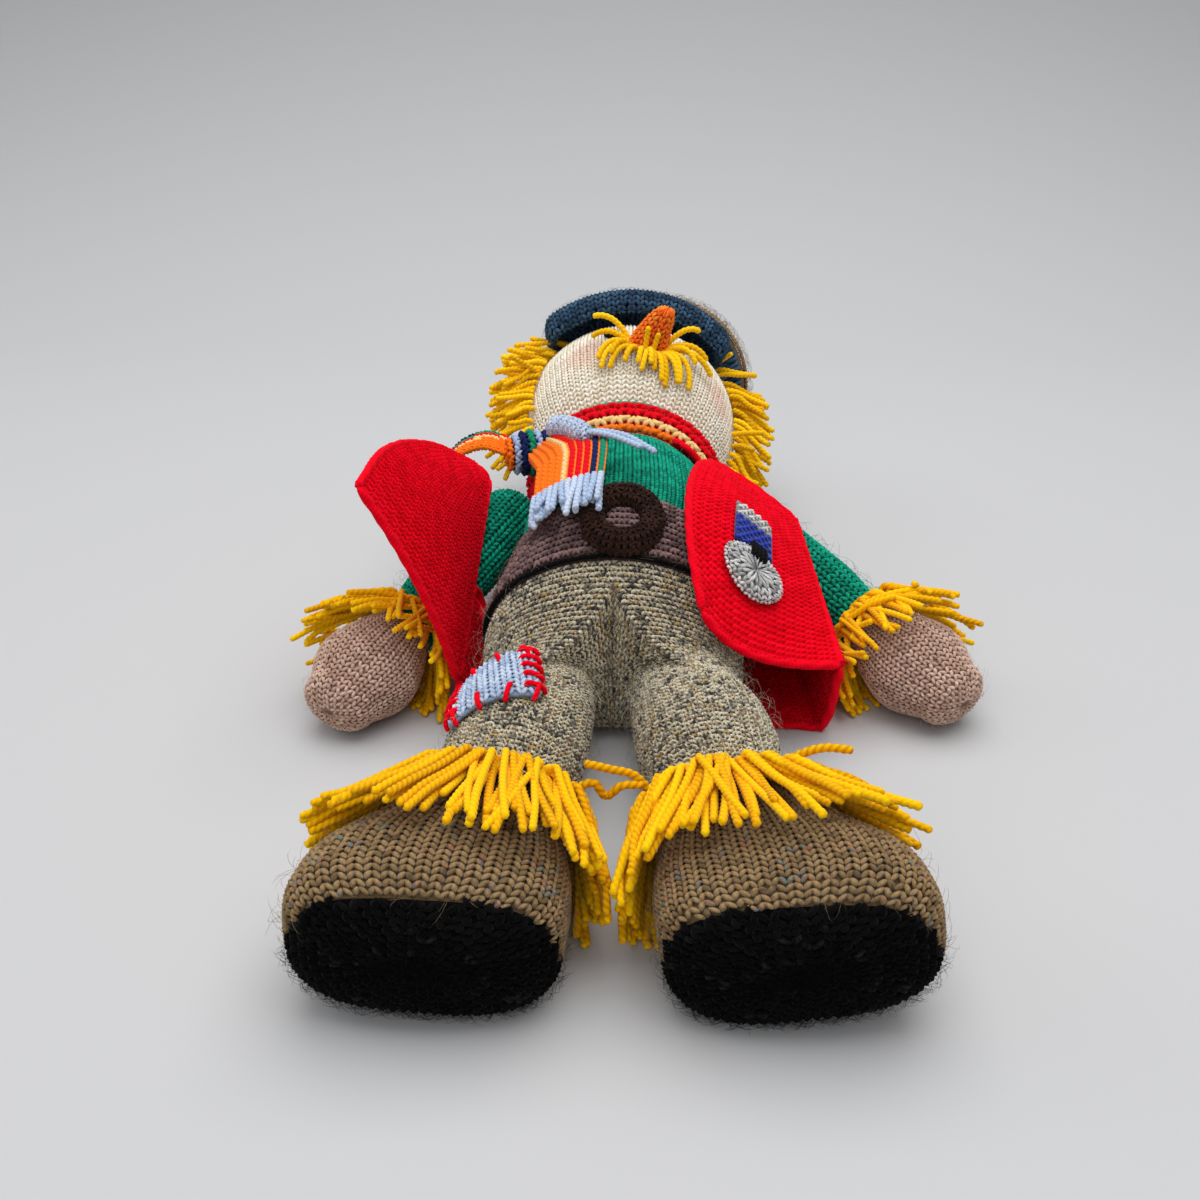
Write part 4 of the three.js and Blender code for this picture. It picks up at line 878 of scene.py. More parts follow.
ANKLE_YARN, WRIST_YARN, LOOSE_YARN = 0.00128, 0.0012, 0.0014
LOOSE_STRANDS = (
    ((11, -74, 34), (6, -74, 40), (-2, -75, 43), (-10, -75, 45)),
    ((9, -75, 37), (2, -77, 38), (-3, -77, 34), (-7, -77, 39), (-12, -77, 37)),
    ((50, -77, 45), (56, -78, 51), (64, -79, 55), (73, -80, 55)),
    ((50, -79, 44), (60, -82, 49), (72, -85, 48), (83, -88, 42)),
    ((50, -78, 45), (56, -80, 50), (64, -82, 49), (71, -84, 43)),
)
for label, side in SIDES.items():

    def ankle_length(angle):
        outward = side * angle
        return 40 - 18 * np.clip(outward / 75, -0.2, 1) - 18 * np.clip(-outward / 60 - 0.8, 0, 1)

    def ankle_drift(angle):
        return (44 + 8 * side) * side * np.clip(0.12 + side * angle / 80, -0.3, 1.2)

    ankle_work = Work()
    straw(ankle_work, legs[label], HEM_Y - 1, ankle_length, ANKLE_YARN, np.linspace(-125, 125, 56),
          ankle_drift, 5.0, 61 + side)
    if label == "left":
        for strand in LOOSE_STRANDS:
            yarn_strand(ankle_work, in_frame(strand), LOOSE_YARN, np.random.default_rng(60))
    ankle_straw = ankle_work.piece(f"{label}_ankle_fringe", straw_wool)
    settle(ankle_straw, f"{label}_leg", "straw_yarn", f"{label}_ankle_straw")
    wrist_work = Work()
    straw(wrist_work, arms[label], WRIST_Y + 3, lambda angle: 29, WRIST_YARN, np.linspace(-170, 170, 30),
          lambda angle: 8 * side, 8.0, 65 + side, stray=28)
    wrist_straw = wrist_work.piece(f"{label}_wrist_fringe", straw_wool)
    settle(wrist_straw, f"{label}_arm", "straw_yarn", f"{label}_wrist_straw")

# Knee patch
# A small light-blue square in plain stitches, sewn askew on the right trouser leg with red stitches over
# its edge.
PATCH_WIDE, PATCH_LONG = 32, 34
PATCH_Y, PATCH_AROUND, PATCH_TURN = -29.6, -24, 14
PATCH_STITCH = 0.0042
WHIP_YARN = 0.00095
patch_wool = wool("light_blue_wool", [
    (0.0, "4a5c78"), (0.3, "9fb6d6"), (0.7, "bccde6"), (1.0, "cfdcf0"),
])
red_wool = wool("red_wool", [
    (0.0, "66020d"), (0.3, "e4031b"), (0.7, "f80521"), (1.0, "ff0a28"),
], heather=0.2, sheen=0.02, gloss=0.02)


def patch_place(u, v, grow=0.0):
    """The patch on the leg: u runs along the leg and v round it, both turned askew."""
    a, b = (u - 0.5) * PATCH_LONG, (v - 0.5) * PATCH_WIDE
    turn = math.radians(PATCH_TURN)
    y = PATCH_Y + a * math.cos(turn) + b * math.sin(turn)
    sideways = b * math.cos(turn) - a * math.sin(turn)
    around = (math.radians(PATCH_AROUND) + sideways / KNEE_RADIUS) / (2 * math.pi)
    u_leg = np.interp(y, legs["right"].heights, legs["right"].track)
    return legs["right"].place(u_leg, around, 1.2 + grow)


def sheet_skin(work, place, thick, rows=16, columns=16, shade=0.15):
    """A thin closed sheet under stitches on a surface with open edges. Its default shade is darker than the
    stitches: painted shade in the gaps between them.
    """
    u, v = np.meshgrid(np.linspace(0, 1, rows), np.linspace(0, 1, columns), indexing="ij")
    normal = facing(place, u, v) * thick / 2
    points = np.concatenate([(place(u, v) + normal).reshape(-1, 3), (place(u, v) - normal).reshape(-1, 3)])
    grid = np.arange(rows * columns).reshape(rows, columns)
    a, b, c, d = (q.ravel() for q in (grid[:-1, :-1], grid[:-1, 1:], grid[1:, 1:], grid[1:, :-1]))
    under = rows * columns
    faces = [np.stack(t, -1) for t in ((a, b, c), (a, c, d), (a + under, c + under, b + under),
                                       (a + under, d + under, c + under))]
    rim = np.concatenate([grid[0, :-1], grid[:-1, -1], grid[-1, :0:-1], grid[:0:-1, 0]])
    after = np.roll(rim, -1)
    faces += [np.stack([rim, under + after, after], -1), np.stack([rim, under + rim, under + after], -1)]
    faces = np.concatenate(faces)
    flat = np.stack([u.ravel(), v.ravel()], -1)
    coords = np.concatenate([flat, flat])[faces]
    work.add(points, faces, coords, np.full(len(points), shade))


patch_work = Work()
sheet_skin(patch_work, grown(patch_place, 0.2), 0.0012)
knit(patch_work, grown(patch_place, 0.9), (0, 1), PATCH_STITCH, PLAIN, 71, closed=False)
patch = patch_work.piece("patch", patch_wool)
whip_work = Work()
whip_rng = np.random.default_rng(72)
whip_spots = [(0.0, s) for s in np.linspace(0.1, 0.95, 4)] + [(1.0, s) for s in np.linspace(0.05, 0.9, 4)]
whip_spots += [(s, 0.0) for s in np.linspace(0.1, 0.85, 4)] + [(s, 1.0) for s in np.linspace(0.1, 0.9, 5)]
for u, v in whip_spots:
    towards = np.array((0.5 - u, 0.5 - v))
    if u in (0.0, 1.0):
        towards[1] = whip_rng.normal(0.12, 0.05)
    else:
        towards[0] = whip_rng.normal(0.12, 0.05)
    line = [patch_place(np.array(u + towards[0] * s), np.array(v + towards[1] * s), h)
            for s, h in ((-0.14, -0.4), (-0.06, 1.6), (0.1, 2.6), (0.24, 2.5), (0.32, 0.6))]
    yarn_strand(whip_work, line, WHIP_YARN, whip_rng)
whip = whip_work.piece("patch_whip_stitches", red_wool)
for made, node, slot in ((patch, "knee_patch", "light_blue_knit"), (whip, "patch_stitching", "red_yarn")):
    settle(made, "right_leg", slot, node)

# Head
# A stuffed ball in cream plain stitches, gathered at the neck and turned a little to its left, with rouge
# rubbed into the cheeks.
HEAD_AT = (0, 152, 47.5)
HEAD_TURN = turn_about("y", 10)
HEAD_LIFT = 7.3
HEAD_RADIUS = 55.3
HEAD_LENGTH = 119
HEAD_STITCH = 0.0034
HEAD_SHAPE = (
    (-0.03, 0.25, 0), (0.013, 0.44, 0), (0.06, 0.635, 0), (0.12, 0.78, 0.2), (0.2, 0.885, 0.5),
    (0.34, 0.965, 0.82), (0.52, 1, 1), (0.69, 0.93, 1), (0.82, 0.785, 1), (0.92, 0.56, 1), (0.97, 0.36, 1),
)
head = StuffedForm([
    (share * HEAD_LENGTH, 0, lift * HEAD_LIFT, size * HEAD_RADIUS, size * HEAD_RADIUS, 0)
    for share, size, lift in HEAD_SHAPE
], end_dome=3.6, turn=HEAD_TURN, at=HEAD_AT)


def cheeks(base, where, colour):
    """Adds a soft round blush on each cheek to a colour."""
    for angle, along in ((-34, 42), (50, 40)):
        spot = head.place(np.array(head.u_at(along)), np.array(angle / 360))
        gap = base.node("ShaderNodeVectorMath", {"operation": "DISTANCE"},
                        {0: where, 1: tuple(spot)}, output=1)
        glow = base.node("ShaderNodeMapRange", {"interpolation_type": "SMOOTHSTEP"},
                         {0: gap, 1: 0.003, 2: 0.017, 3: 0.36, 4: 0.0})
        colour = base.node("ShaderNodeMix", {"data_type": "RGBA"},
                           {0: glow, 6: colour, 7: (*paint("e39a86"), 1)}, output=2)
    return colour


face_wool = wool("cream_wool", [
    (0.0, "8a7a62"), (0.3, "e6dcc6"), (0.7, "f2ead8"), (1.0, "faf4e6"),
], ply=0.2, blush=cheeks, sheen=0.1)
chin_u, hat_u = head.u_at(0.5), head.u_at(100)
head_work = Work()
skin(head_work, grown(head.place, -1.0), chin_u, 1.0, rows=40, columns=60, shade=0.35)
knit(head_work, grown(head.place, -0.9), (chin_u, hat_u), HEAD_STITCH, PLAIN, 81)
head_ball = head_work.piece("head_ball", face_wool)
settle(head_ball, "head", "cream_knit", "head_knit", "head_stuffing")

# Nose and eyes
# The nose is a small stuffed carrot in orange plain stitches, creased down its front, and the eyes are black
# stitched buttons with a white stitch at the side. All are sewn to the face.
NOSE_Y = HEAD_LENGTH * 0.36
NOSE_LENGTH, NOSE_SEAT = 23, 2
NOSE_STITCH = 0.0040
EYE_STITCH = 0.0022
GLINT_YARN = 0.0009
orange_wool = wool("orange_wool", [
    (0.0, "a83604"), (0.3, "ff6a0a"), (0.7, "ff8016"), (1.0, "ff942a"),
], heather=0.2, sheen=0.1)
nose_base = head.place(np.array(head.u_at(NOSE_Y)), np.array(0.0))
nose_up = facing(head.place, np.array(head.u_at(NOSE_Y)), np.array(0.0))
nose_along = HEAD_TURN @ np.array((0, 1, 0))
nose_side = np.cross(nose_along, nose_up)
nose_along = np.cross(nose_up, nose_side)


def nose_place(u, v, grow=0.0):
    """The carrot: u runs from its base to its tip, which leans to the left; a crease runs up its front."""
    angle = -2 * np.pi * v
    crease = 1 - 0.16 * np.exp(-((np.mod(angle - 0.2, 2 * np.pi) - np.pi) / 0.4) ** 2)
    radius = smooth(u, (0, 0.12, 0.5, 0.86, 0.96, 1.0), (9.5, 9.7, 7.8, 5.0, 3.0, 0.2)) * crease
    radius = radius + grow * (1 - u**6)
    sideways = radius * np.sin(angle) + 6 * np.maximum(u, 0) ** 1.5
    across = sideways[..., None] * nose_side + (radius * np.cos(angle))[..., None] * nose_along
    return nose_base + MM * (across + (NOSE_LENGTH * u - NOSE_SEAT)[..., None] * nose_up)


nose_work = Work()
skin(nose_work, grown(nose_place, -1.4), 0.0, 1.0, rows=12, columns=24)
knit(nose_work, grown(nose_place, -0.8), (0.0, 0.99), NOSE_STITCH, PLAIN, 82)
nose = nose_work.piece("nose_carrot", orange_wool)
settle(nose, "head", "orange_knit", "carrot_nose", "nose_stuffing")

white_wool = wool("white_wool", [(0.0, "cfcfcd"), (1.0, "fbfbfa")])
for label, side, degrees in (("right", -1, -19), ("left", 1, 20)):
    eye_u, eye_v = head.u_at(NOSE_Y + 10), degrees / 360
    spot = head.place(np.array(eye_u), np.array(eye_v))
    out = facing(head.place, np.array(eye_u), np.array(eye_v))
    left_of = np.cross(np.array((0, 1, 0)), out)
    up_of = np.cross(out, left_of)

    def eye_place(u, v, grow=0.0):
        """The button from its edge to its middle."""
        radius = (3.7 + grow) * np.cos(u * np.pi / 2) * MM
        angle = 2 * np.pi * v
        height = (2.6 + grow) * np.sin(u * np.pi / 2) * MM
        around = np.cos(angle)[..., None] * left_of + np.sin(angle)[..., None] * up_of
        return spot + radius[..., None] * around + height[..., None] * out

    eye_work = Work()
    skin(eye_work, grown(eye_place, -0.5), 0.0, 1.0, rows=6, columns=16)
    knit(eye_work, grown(eye_place, -0.2), (0.0, 0.85), EYE_STITCH, PURL, 83)
    eye = eye_work.piece(f"{label}_stitched_eye", black_wool)
    settle(eye, "head", "black_knit", f"{label}_eye")
    glint_work = Work()
    glint = [spot + MM * (left_of * a * -side + up_of * b + out * c)
             for a, b, c in ((5.2, -2.4, 0.6), (4.6, -1.0, 2.0), (4.2, 1.4, 2.1), (4.0, 3.0, 0.6))]
    yarn_strand(glint_work, glint, GLINT_YARN, np.random.default_rng(84))
    white = glint_work.piece(f"{label}_eye_stitch", white_wool)
    settle(white, "head", "cream_knit")

# Hair and moustache
# Short lengths of golden yarn knotted along both sides of the head under the hat, and a tuft round the nose.
HAIR_YARN, WHISKER_YARN = 0.0013, 0.0014
hair_wool = wool("golden_yarn", [
    (0.0, "96600a"), (0.35, "eab006"), (0.7, "fac40c"), (1.0, "ffd41e"),
], heather=0.12, ply=0.1, sheen=0.05, gloss=0.06)


def on_head(y, degrees, lift):
    """A point above the face, some degrees round from its middle."""
    return head.place(np.array(head.u_at(y)), np.array(degrees / 360), lift)


for label, side in SIDES.items():
    rng = np.random.default_rng(91 + side)
    work = Work()
    for layer in range(3):
        for share in np.linspace(0.2 if side < 0 else 0.12, 0.76, 21):
            y = (share + rng.normal(0, 0.008)) * HEAD_LENGTH
            angle = side * (92 - 50 * max(0, share - 0.2) - 7 * layer) + rng.normal(0, 2)
            reach = 21 * rng.uniform(0.75, 1.15)
            sag = rng.normal(-9, 4)
            swing = side * rng.normal(9, 5)
            line = [
                on_head(y, angle, 0.6),
                on_head(y + sag * 0.15, angle + swing * 0.2, 3.0 + layer),
                on_head(y + sag * 0.5, angle + swing * 0.6, 0.5 * reach),
                on_head(max(y + sag, 9), angle + swing, 0.9 * reach),
            ]
            yarn_strand(work, line, HAIR_YARN, rng)
    hair = work.piece(f"{label}_hair_yarn", hair_wool)
    settle(hair, "head", "gold_yarn", f"{label}_hair")

WHISKERS = (
    (-98, 15, 13, 0), (-84, 18, 4, -25), (-72, 20, 2, 30), (-60, 22, 2, 25), (-46, 19, 2, 10),
    (-30, 13, 3, 0), (-15, 11, 3, 10), (-2, 13, 2, -8), (9, 12, 2, 10), (19, 17, 2, 6), (27, 20, 2, -5),
    (36, 20, 2, 8), (48, 21, 3, -20), (60, 25, 2, -25), (76, 26, 3, 12), (86, 20, 5, 8), (106, 12, 12, 0),
    (-8, 2, 14, 0), (16, 3, 11, 0), (-52, 16, 6, 20), (68, 17, 6, -12), (2, 12, 5, 12),
)
rng = np.random.default_rng(95)
tuft_work = Work()
for degrees, reach, tip, bend in WHISKERS:
    heading = math.radians(degrees)
    y = NOSE_Y - 9.5 * math.cos(heading)
    angle = math.degrees(9.5 * math.sin(heading) / HEAD_RADIUS)
    line = [on_head(y, angle, 1.0)]
    for share in (0.25, 0.5, 0.75, 1.0):
        heading += math.radians(bend / 4)
        y -= reach / 4 * math.cos(heading)
        angle += math.degrees(reach / 4 * math.sin(heading) / HEAD_RADIUS)
        line.append(on_head(y, angle, tip * share + 4 * math.sin(math.pi * share) + 1))
    yarn_strand(tuft_work, line, WHISKER_YARN, rng)
tuft = tuft_work.piece("moustache_yarn", hair_wool)
settle(tuft, "head", "straw_yarn", "moustache")

# Hat
# A soft knitted hat in slate blue: a turned-down brim, a crown pulled over the head and a brown tweed band.
HAT_Y = HEAD_LENGTH * 0.79
HAT_RADIUS = 45.6
SLOUCH = 17
BAND_LOW, BAND_WIDE = 0.07, 0.2
BRIM_STITCH = 0.0038
CROWN_STITCH = 0.0042
BAND_STITCH = 0.0038
hat_wool = wool("slate_blue_wool", [
    (0.0, "070c13"), (0.3, "1f3a54"), (0.7, "32526f"), (1.0, "446786"),
], heather=0.35, sheen=0.08, gloss=0.05)


def hat_point(radius, along, angle):
    """Points round the axis of the hat, which leans and turns with the head."""
    local = np.stack([radius * np.sin(angle), HAT_Y + along, HEAD_LIFT + radius * np.cos(angle)], -1)
    return in_frame(local @ HEAD_TURN.T + HEAD_AT)


PEAK = np.array((
    (47.2, 3), (58, -0.5), (66.5, -7), (69, -14), (67, -19.5), (64.5, -24), (62.6, -22.5), (63.2, -16),
    (60, -10.5), (53, -5), (47.2, -2),
))
ROLL = np.array((
    (47.2, 1.8), (49.5, 1.9), (51.2, 1.8), (51.8, 0.8), (51.4, -1), (50.4, -2), (49.6, -2.1), (48.8, -2),
    (48.2, -1.8), (47.6, -1.4), (47.2, -0.8),
))


def brim_place(u, v, grow=0.0):
    """The brim, whose cross-section is a closed loop in u: a drooping peak over the face and a thin roll
    elsewhere."""
    angle = 2 * np.pi * v
    turn = np.degrees(np.abs(np.arctan2(np.sin(angle + 0.09), np.cos(angle + 0.09))))
    share = np.clip((60 - turn) / 20, 0, 1)[..., None]
    share = share * share * (3 - 2 * share)
    knots = np.linspace(0, 1, 11)
    inside = np.clip(1 - u, 0, 1)
    spot = smooth(inside, knots, ROLL) * (1 - share) + smooth(inside, knots, PEAK) * share
    near, far = np.maximum(inside - 0.02, 0), np.minimum(inside + 0.02, 1)
    ahead = smooth(far, knots, PEAK) - smooth(near, knots, PEAK)
    ahead /= np.linalg.norm(ahead, axis=-1, keepdims=True)
    ripple = share[..., 0] * np.sin(4 * angle + 0.8) * np.sin(np.pi * inside)
    radius = spot[..., 0] + ahead[..., 1] * grow
    along = spot[..., 1] + ahead[..., 0] * grow + 1.6 * ripple
    return hat_point(radius, along, angle)


brim_work = Work()
knit(brim_work, grown(brim_place, -0.9), (0.0, 1.0), BRIM_STITCH, PLAIN, 101)
fuzz(brim_work, brim_place, (0.2, 0.9, -0.2, 0.2), 1800, 0.005, 104, thick=0.00005)
ring_skin(brim_work, grown(brim_place, -1.6), np.arange(14) / 14, 60)
brim = brim_work.piece("hat_brim_knit", hat_wool)
settle(brim, "head", "teal_knit", "hat_brim")


def crown_place(u, v, grow=0.0):
    """The crown from the brim to its top, slouched to one side."""
    angle = 2 * np.pi * v
    knots = (0, 0.3, 0.55, 0.75, 0.9, 1.0)
    radius = smooth(u, knots, np.array((1, 1, 0.95, 0.75, 0.4, 0.0)) * HAT_RADIUS) + (3.4 + grow) * (1 - u**8)
    along = smooth(u, knots, (2.3, 16, 29, 39, 44.2, 46)) + grow * u
    slouch = SLOUCH * np.maximum(0, np.cos(angle - 0.75)) ** 2 * np.clip(u / 0.06, 0, 1) * (1 - u**3)
    return hat_point(radius + slouch, along, angle)


def band_place(u, v, grow=0.0):
    """The part of the crown that the band covers."""
    return crown_place(BAND_LOW + BAND_WIDE * u, v, grow)


crown_work = Work()
skin(crown_work, grown(crown_place, -1.4), 0.0, 1.0, rows=20, columns=48)
knit(crown_work, grown(crown_place, -0.8), (0.0, 0.97), CROWN_STITCH, PLAIN, 102)
crown = crown_work.piece("hat_crown_knit", hat_wool)
band_work = Work()
skin(band_work, grown(band_place, 1.4), 0.0, 1.0, rows=5, columns=60)
knit(band_work, grown(band_place, 2.2), (0.0, 1.0), BAND_STITCH, PURL, 103, brick=True)
fuzz(band_work, grown(band_place, 3.0), (0, 1, 0, 0.25), 500, 0.005, 105)
band = band_work.piece("hat_band_knit", boot_wool)
for made, node, slot in ((crown, "hat_crown", "teal_knit"), (band, "hat_band", "brown_tweed_knit")):
    settle(made, "head", slot, node)

# Waistcoat
# A red sleeveless waistcoat, knitted with the purl side out: a back under the doll, a yoke over the shoulders
# and two open fronts. The left front lies over the hip, and the right one stands up like a sail.
CHEST = np.array((CHEST_RADIUS, 124, 87.2))
WAISTCOAT_STITCH = 0.0040
BACK_STITCH = 0.0046


def on_chest(shares):
    """Points given as shares of the chest's half width, height on the body and thickness."""
    return np.array(shares) * CHEST


def front_place(side, fold, middle, free):
    """A front bowed from its fold line over a middle line to its free edge; u runs from hem to shoulder,
    and v across the front from the doll's right to its left."""
    fold, middle, free = on_chest(fold), on_chest(middle), on_chest(free)

    def place(u, v):
        v3 = (np.asarray(v) if side < 0 else 1 - np.asarray(v))[..., None]
        hinge = fold[0] + (fold[1] - fold[0]) * np.asarray(u)[..., None]
        bow = along_curve(middle, u) * 2 * v3 * (1 - v3)
        return in_frame(hinge * (1 - v3) ** 2 + bow + along_curve(free, u) * v3**2)

    return place


LEFT_FOLD = ((1.95, 0.056, 0.401), (1.77, 0.839, 0.608))
RIGHT_FOLD = ((-1.49, 0.129, 0.229), (-1.42, 0.976, 0.734))
left_front_place = front_place(1, LEFT_FOLD, (
    (0.977, -0.056, 0.447), (1.186, 0.194, 0.711), (1.302, 0.468, 0.803), (1.326, 0.694, 0.803),
    (1.349, 0.919, 0.757),
), (
    (0.698, -0.016, 0.711), (0.605, 0.161, 0.894), (0.605, 0.371, 0.986), (0.721, 0.677, 0.975),
    (0.93, 0.984, 0.837),
))
right_front_place = front_place(-1, RIGHT_FOLD, (
    (-1.674, 0.105, 0.734), (-1.6, 0.363, 0.815), (-1.55, 0.68, 0.83), (-1.5, 0.995, 0.77),
), (
    (-2.209, 0.097, 1.181), (-2.14, 0.339, 1.204), (-1.9, 0.72, 1.05), (-1.6, 1.01, 0.8),
))


def flat_of(place):
    """A sheet's flat size: the width that its area leaves for its length, and its length along its middle."""
    u, v = np.meshgrid(np.linspace(0, 1, 41), np.linspace(0, 1, 41), indexing="ij")
    points = place(u, v)
    corners = points[:-1, :-1]
    area = np.linalg.norm(np.cross(points[1:, :-1] - corners, points[:-1, 1:] - corners), axis=-1).sum()
    length = steps_of(points[:, 20]).sum()
    return float(area / length), float(length)


def above_floor(points):
    """Whether a stitch is high enough off the floor to be seen from under its sheet."""
    return points[..., 2] > 0.004


def knitted_sheet(name, place, width, seed, finish, shade=None, faces=(1, -1), rim=True, under=0.3):
    """A knitted sheet: the cloth, the purl stitches on its faces, and a rope of yarn along its edge."""
    cloth_work = Work()
    sheet_skin(cloth_work, place, 0.0014, rows=28, columns=24, shade=under)
    cloth = cloth_work.piece(name, finish)
    work = Work()
    for face in faces:
        knit(work, place, (0.0, 1.0), width, PURL, seed + face, lift=0.0004, face=face, closed=False,
             shade=shade, keep=None if face > 0 else above_floor)
    if rim:
        t = np.linspace(0, 1, 60)
        zero, one = np.zeros(60), np.ones(60)
        for u, v in ((t, zero), (one, t), (1 - t, one), (zero, 1 - t)):
            yarn_strand(work, place(u, v), width * 0.4, np.random.default_rng(seed), sides=8,
                        pitch=width * 2.2, shade=0.6)
    stitches = work.piece(f"{name}_stitches", finish)
    return cloth, stitches


for label, place, start, end in (
    ("left", left_front_place, (62, 112, 74), (40, 40, 80)),
    ("right", right_front_place, (-56, 100, 50), (-74, 60, 72)),
):
    pair = knitted_sheet(f"{label}_front", place, WAISTCOAT_STITCH, 111, red_wool)
    for made in pair:
        in_frame(start)
        in_frame(end)
        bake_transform(made)
    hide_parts(f"waistcoat_{label}_front")
    flat_of(place)

ARMHOLE, BACK_TOP = 0.42, 0.95


def back_edge_line(fold, t, side):
    """One edge of the back: along the fold line to the armhole, and then on the floor to the shoulder."""
    along = t * BACK_TOP
    low, high = on_chest(fold)
    seam = low + (high - low) * np.minimum(along, ARMHOLE)[..., None]
    seam[..., 2] -= 1.0
    share = np.clip((along - ARMHOLE) / (BACK_TOP - ARMHOLE), 0, 1)
    x = side * CHEST_RADIUS * (1.2 - 0.4 * share)
    y = seam[..., 1] + 14 + share * (128 - 14 - seam[..., 1])
    floor_edge = np.stack([x, y, np.full_like(share, 3.2)], -1)
    return np.where((along <= ARMHOLE)[..., None], seam, floor_edge)


def back_place(u, v):
    """The back lies on the floor and turns up at each side to the fold lines; v runs from right to left."""
    t = np.clip(u, 0, 1)
    right = back_edge_line(RIGHT_FOLD, t, -1)
    left = back_edge_line(LEFT_FOLD, t, 1)
    middle = 20 + (126 - 20) * t

    def on_floor(edge, reach, blend):
        y = edge[..., 1] + (middle - edge[..., 1]) * blend
        return np.stack([edge[..., 0] * reach, y, np.full_like(y, 1.6)], -1)

    lines = np.stack([
        right, on_floor(right, 0.9, 0.4), on_floor(right, 0.45, 0.8),
        on_floor(left, 0.45, 0.8), on_floor(left, 0.95, 0.6), left,
    ], -2)
    shape = lines.shape[:-2]
    flat_lines = lines.reshape(-1, 6, 3)
    flat_v = np.broadcast_to(v, shape).reshape(-1)
    knots = np.array((0, 0.14, 0.36, 0.64, 0.86, 1.0))
    slopes = np.gradient(flat_lines, knots, axis=1)
    inside = np.clip(flat_v, 0, 1)
    k = np.clip(np.searchsorted(knots, inside) - 1, 0, 4)
    width = (knots[k + 1] - knots[k])[:, None]
    s = ((inside - knots[k]) / width[:, 0])[:, None]
    n = np.arange(len(flat_v))
    a, b, c, d = curve_weights(s)
    points = (a * flat_lines[n, k] + b * width * slopes[n, k]
              + c * flat_lines[n, k + 1] + d * width * slopes[n, k + 1])
    points[:, 2] = np.maximum(points[:, 2], 1.4)
    return in_frame(points.reshape(*shape, 3))


back_pair = knitted_sheet("waistcoat_back_cloth", back_place, BACK_STITCH, 115, red_wool)
for made in back_pair:
    settle(made, "trunk", "red_knit")
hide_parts("waistcoat_back")
flat_of(back_place)

yoke_ends = (body.u_at(128), body.u_at(139))


def yoke_place(u, v):
    """The yoke round the back of the neck, over the jumper."""
    return body.place(yoke_ends[0] + (yoke_ends[1] - yoke_ends[0]) * u, 0.1 + 0.8 * v, 3.4)


yoke_pair = knitted_sheet("waistcoat_yoke_cloth", yoke_place, WAISTCOAT_STITCH, 117, red_wool, faces=(1,))
for made in yoke_pair:
    settle(made, "trunk", "red_knit")
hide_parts("waistcoat_yoke")
flat_of(yoke_place)

# Medal
# A padded grey disc with a small black stitched mark, hung on a grey and blue ribbon in garter stitch, all
# knitted and sewn to the left front.
MEDAL_U, MEDAL_V = 0.26, 0.43
FRONT_LONG, FRONT_WIDE = 99.06, 68
DISC_RADIUS = 14.0
DISC_STITCH = 0.0036
MARK_YARN = 0.0011
RIBBON_WIDE = 18
RIBBON_STITCH = 0.0034
grey_wool = wool("grey_marl_wool", [
    (0.0, "4b4b4c"), (0.3, "9b9b9c"), (0.6, "c4c4c3"), (1.0, "e6e6e4"),
], heather=0.7)
blue_wool = wool("royal_blue_wool", [(0.0, "0a1444"), (0.3, "1a2f96"), (1.0, "2a48bf")])
GARTER = [loop_of_yarn([
    (-0.5, 0.2, -0.12), (-0.3, 0.5, 0.1), (0, 0.62, 0.2), (0.3, 0.5, 0.1), (0.5, 0.2, -0.12),
], (0.2, 0.25, 0.2))]


def medal_spot(x, y, height):
    """A point some millimetres off the left front, across and up from the middle of the medal."""
    u = MEDAL_U + y / FRONT_LONG
    v = MEDAL_V + x / FRONT_WIDE
    out = facing(left_front_place, u, v)
    return left_front_place(u, v) + out * (np.asarray(height) + 2.2)[..., None] * MM


def disc_place(u, v, grow=0.0):
    """The disc from its edge to its middle."""
    turn = 2 * np.pi * v
    radius = np.maximum(np.cos(u * np.pi / 2), 0) ** 0.6 * (DISC_RADIUS + grow)
    height = 1.0 + np.sin(np.clip(u, 0, 1) * np.pi / 2) * (3.6 + grow)
    return medal_spot(radius * np.cos(turn), radius * 0.66 * np.sin(turn), height)


disc_work = Work()
skin(disc_work, grown(disc_place, -1.0), 0.0, 1.0, rows=8, columns=28)
knit(disc_work, grown(disc_place, -0.5), (0.0, 0.93), DISC_STITCH, PLAIN, 121)
disc = disc_work.piece("medal_pad", grey_wool)
mark_work = Work()
mark_rng = np.random.default_rng(122)
for x in (-2.6, -0.9, 0.9, 2.6):
    line = [medal_spot(np.array(x * spread), np.array(y), np.array(height))
            for spread, y, height in ((0.8, 10.5, 2.6), (0.9, 9.0, 4.6), (1.0, 6.0, 5.2), (1.1, 3.2, 4.6))]
    yarn_strand(mark_work, line, MARK_YARN, mark_rng)
mark = mark_work.piece("medal_stitches", black_wool)


def ribbon_place(low, high):
    """A part of the ribbon, from a lower to an upper line."""
    return lambda u, v: medal_spot((v - 0.5) * RIBBON_WIDE, low + (high - low) * u,
                                   np.full(np.shape(u), 1.2))


pieces = [(disc, "medal_disc", "grey_knit"), (mark, "medal_mark", "black_knit")]
for name, low, high, finish, node, slot in (
    ("medal_blue_ribbon", 9.5, 22, blue_wool, "medal_band", "blue_knit"),
    ("medal_grey_ribbon", 22, 30, grey_wool, "medal_ribbon", "grey_knit"),
):
    work = Work()
    sheet_skin(work, ribbon_place(low, high), 0.001, rows=8, columns=8)
    knit(work, ribbon_place(low, high), (0, 1), RIBBON_STITCH, GARTER, 123, lift=0.0003, closed=False,
         brick=True)
    pieces.append((work.piece(name, finish), node, slot))
for made, node, slot in pieces:
    settle(made, "left_front", slot, node)

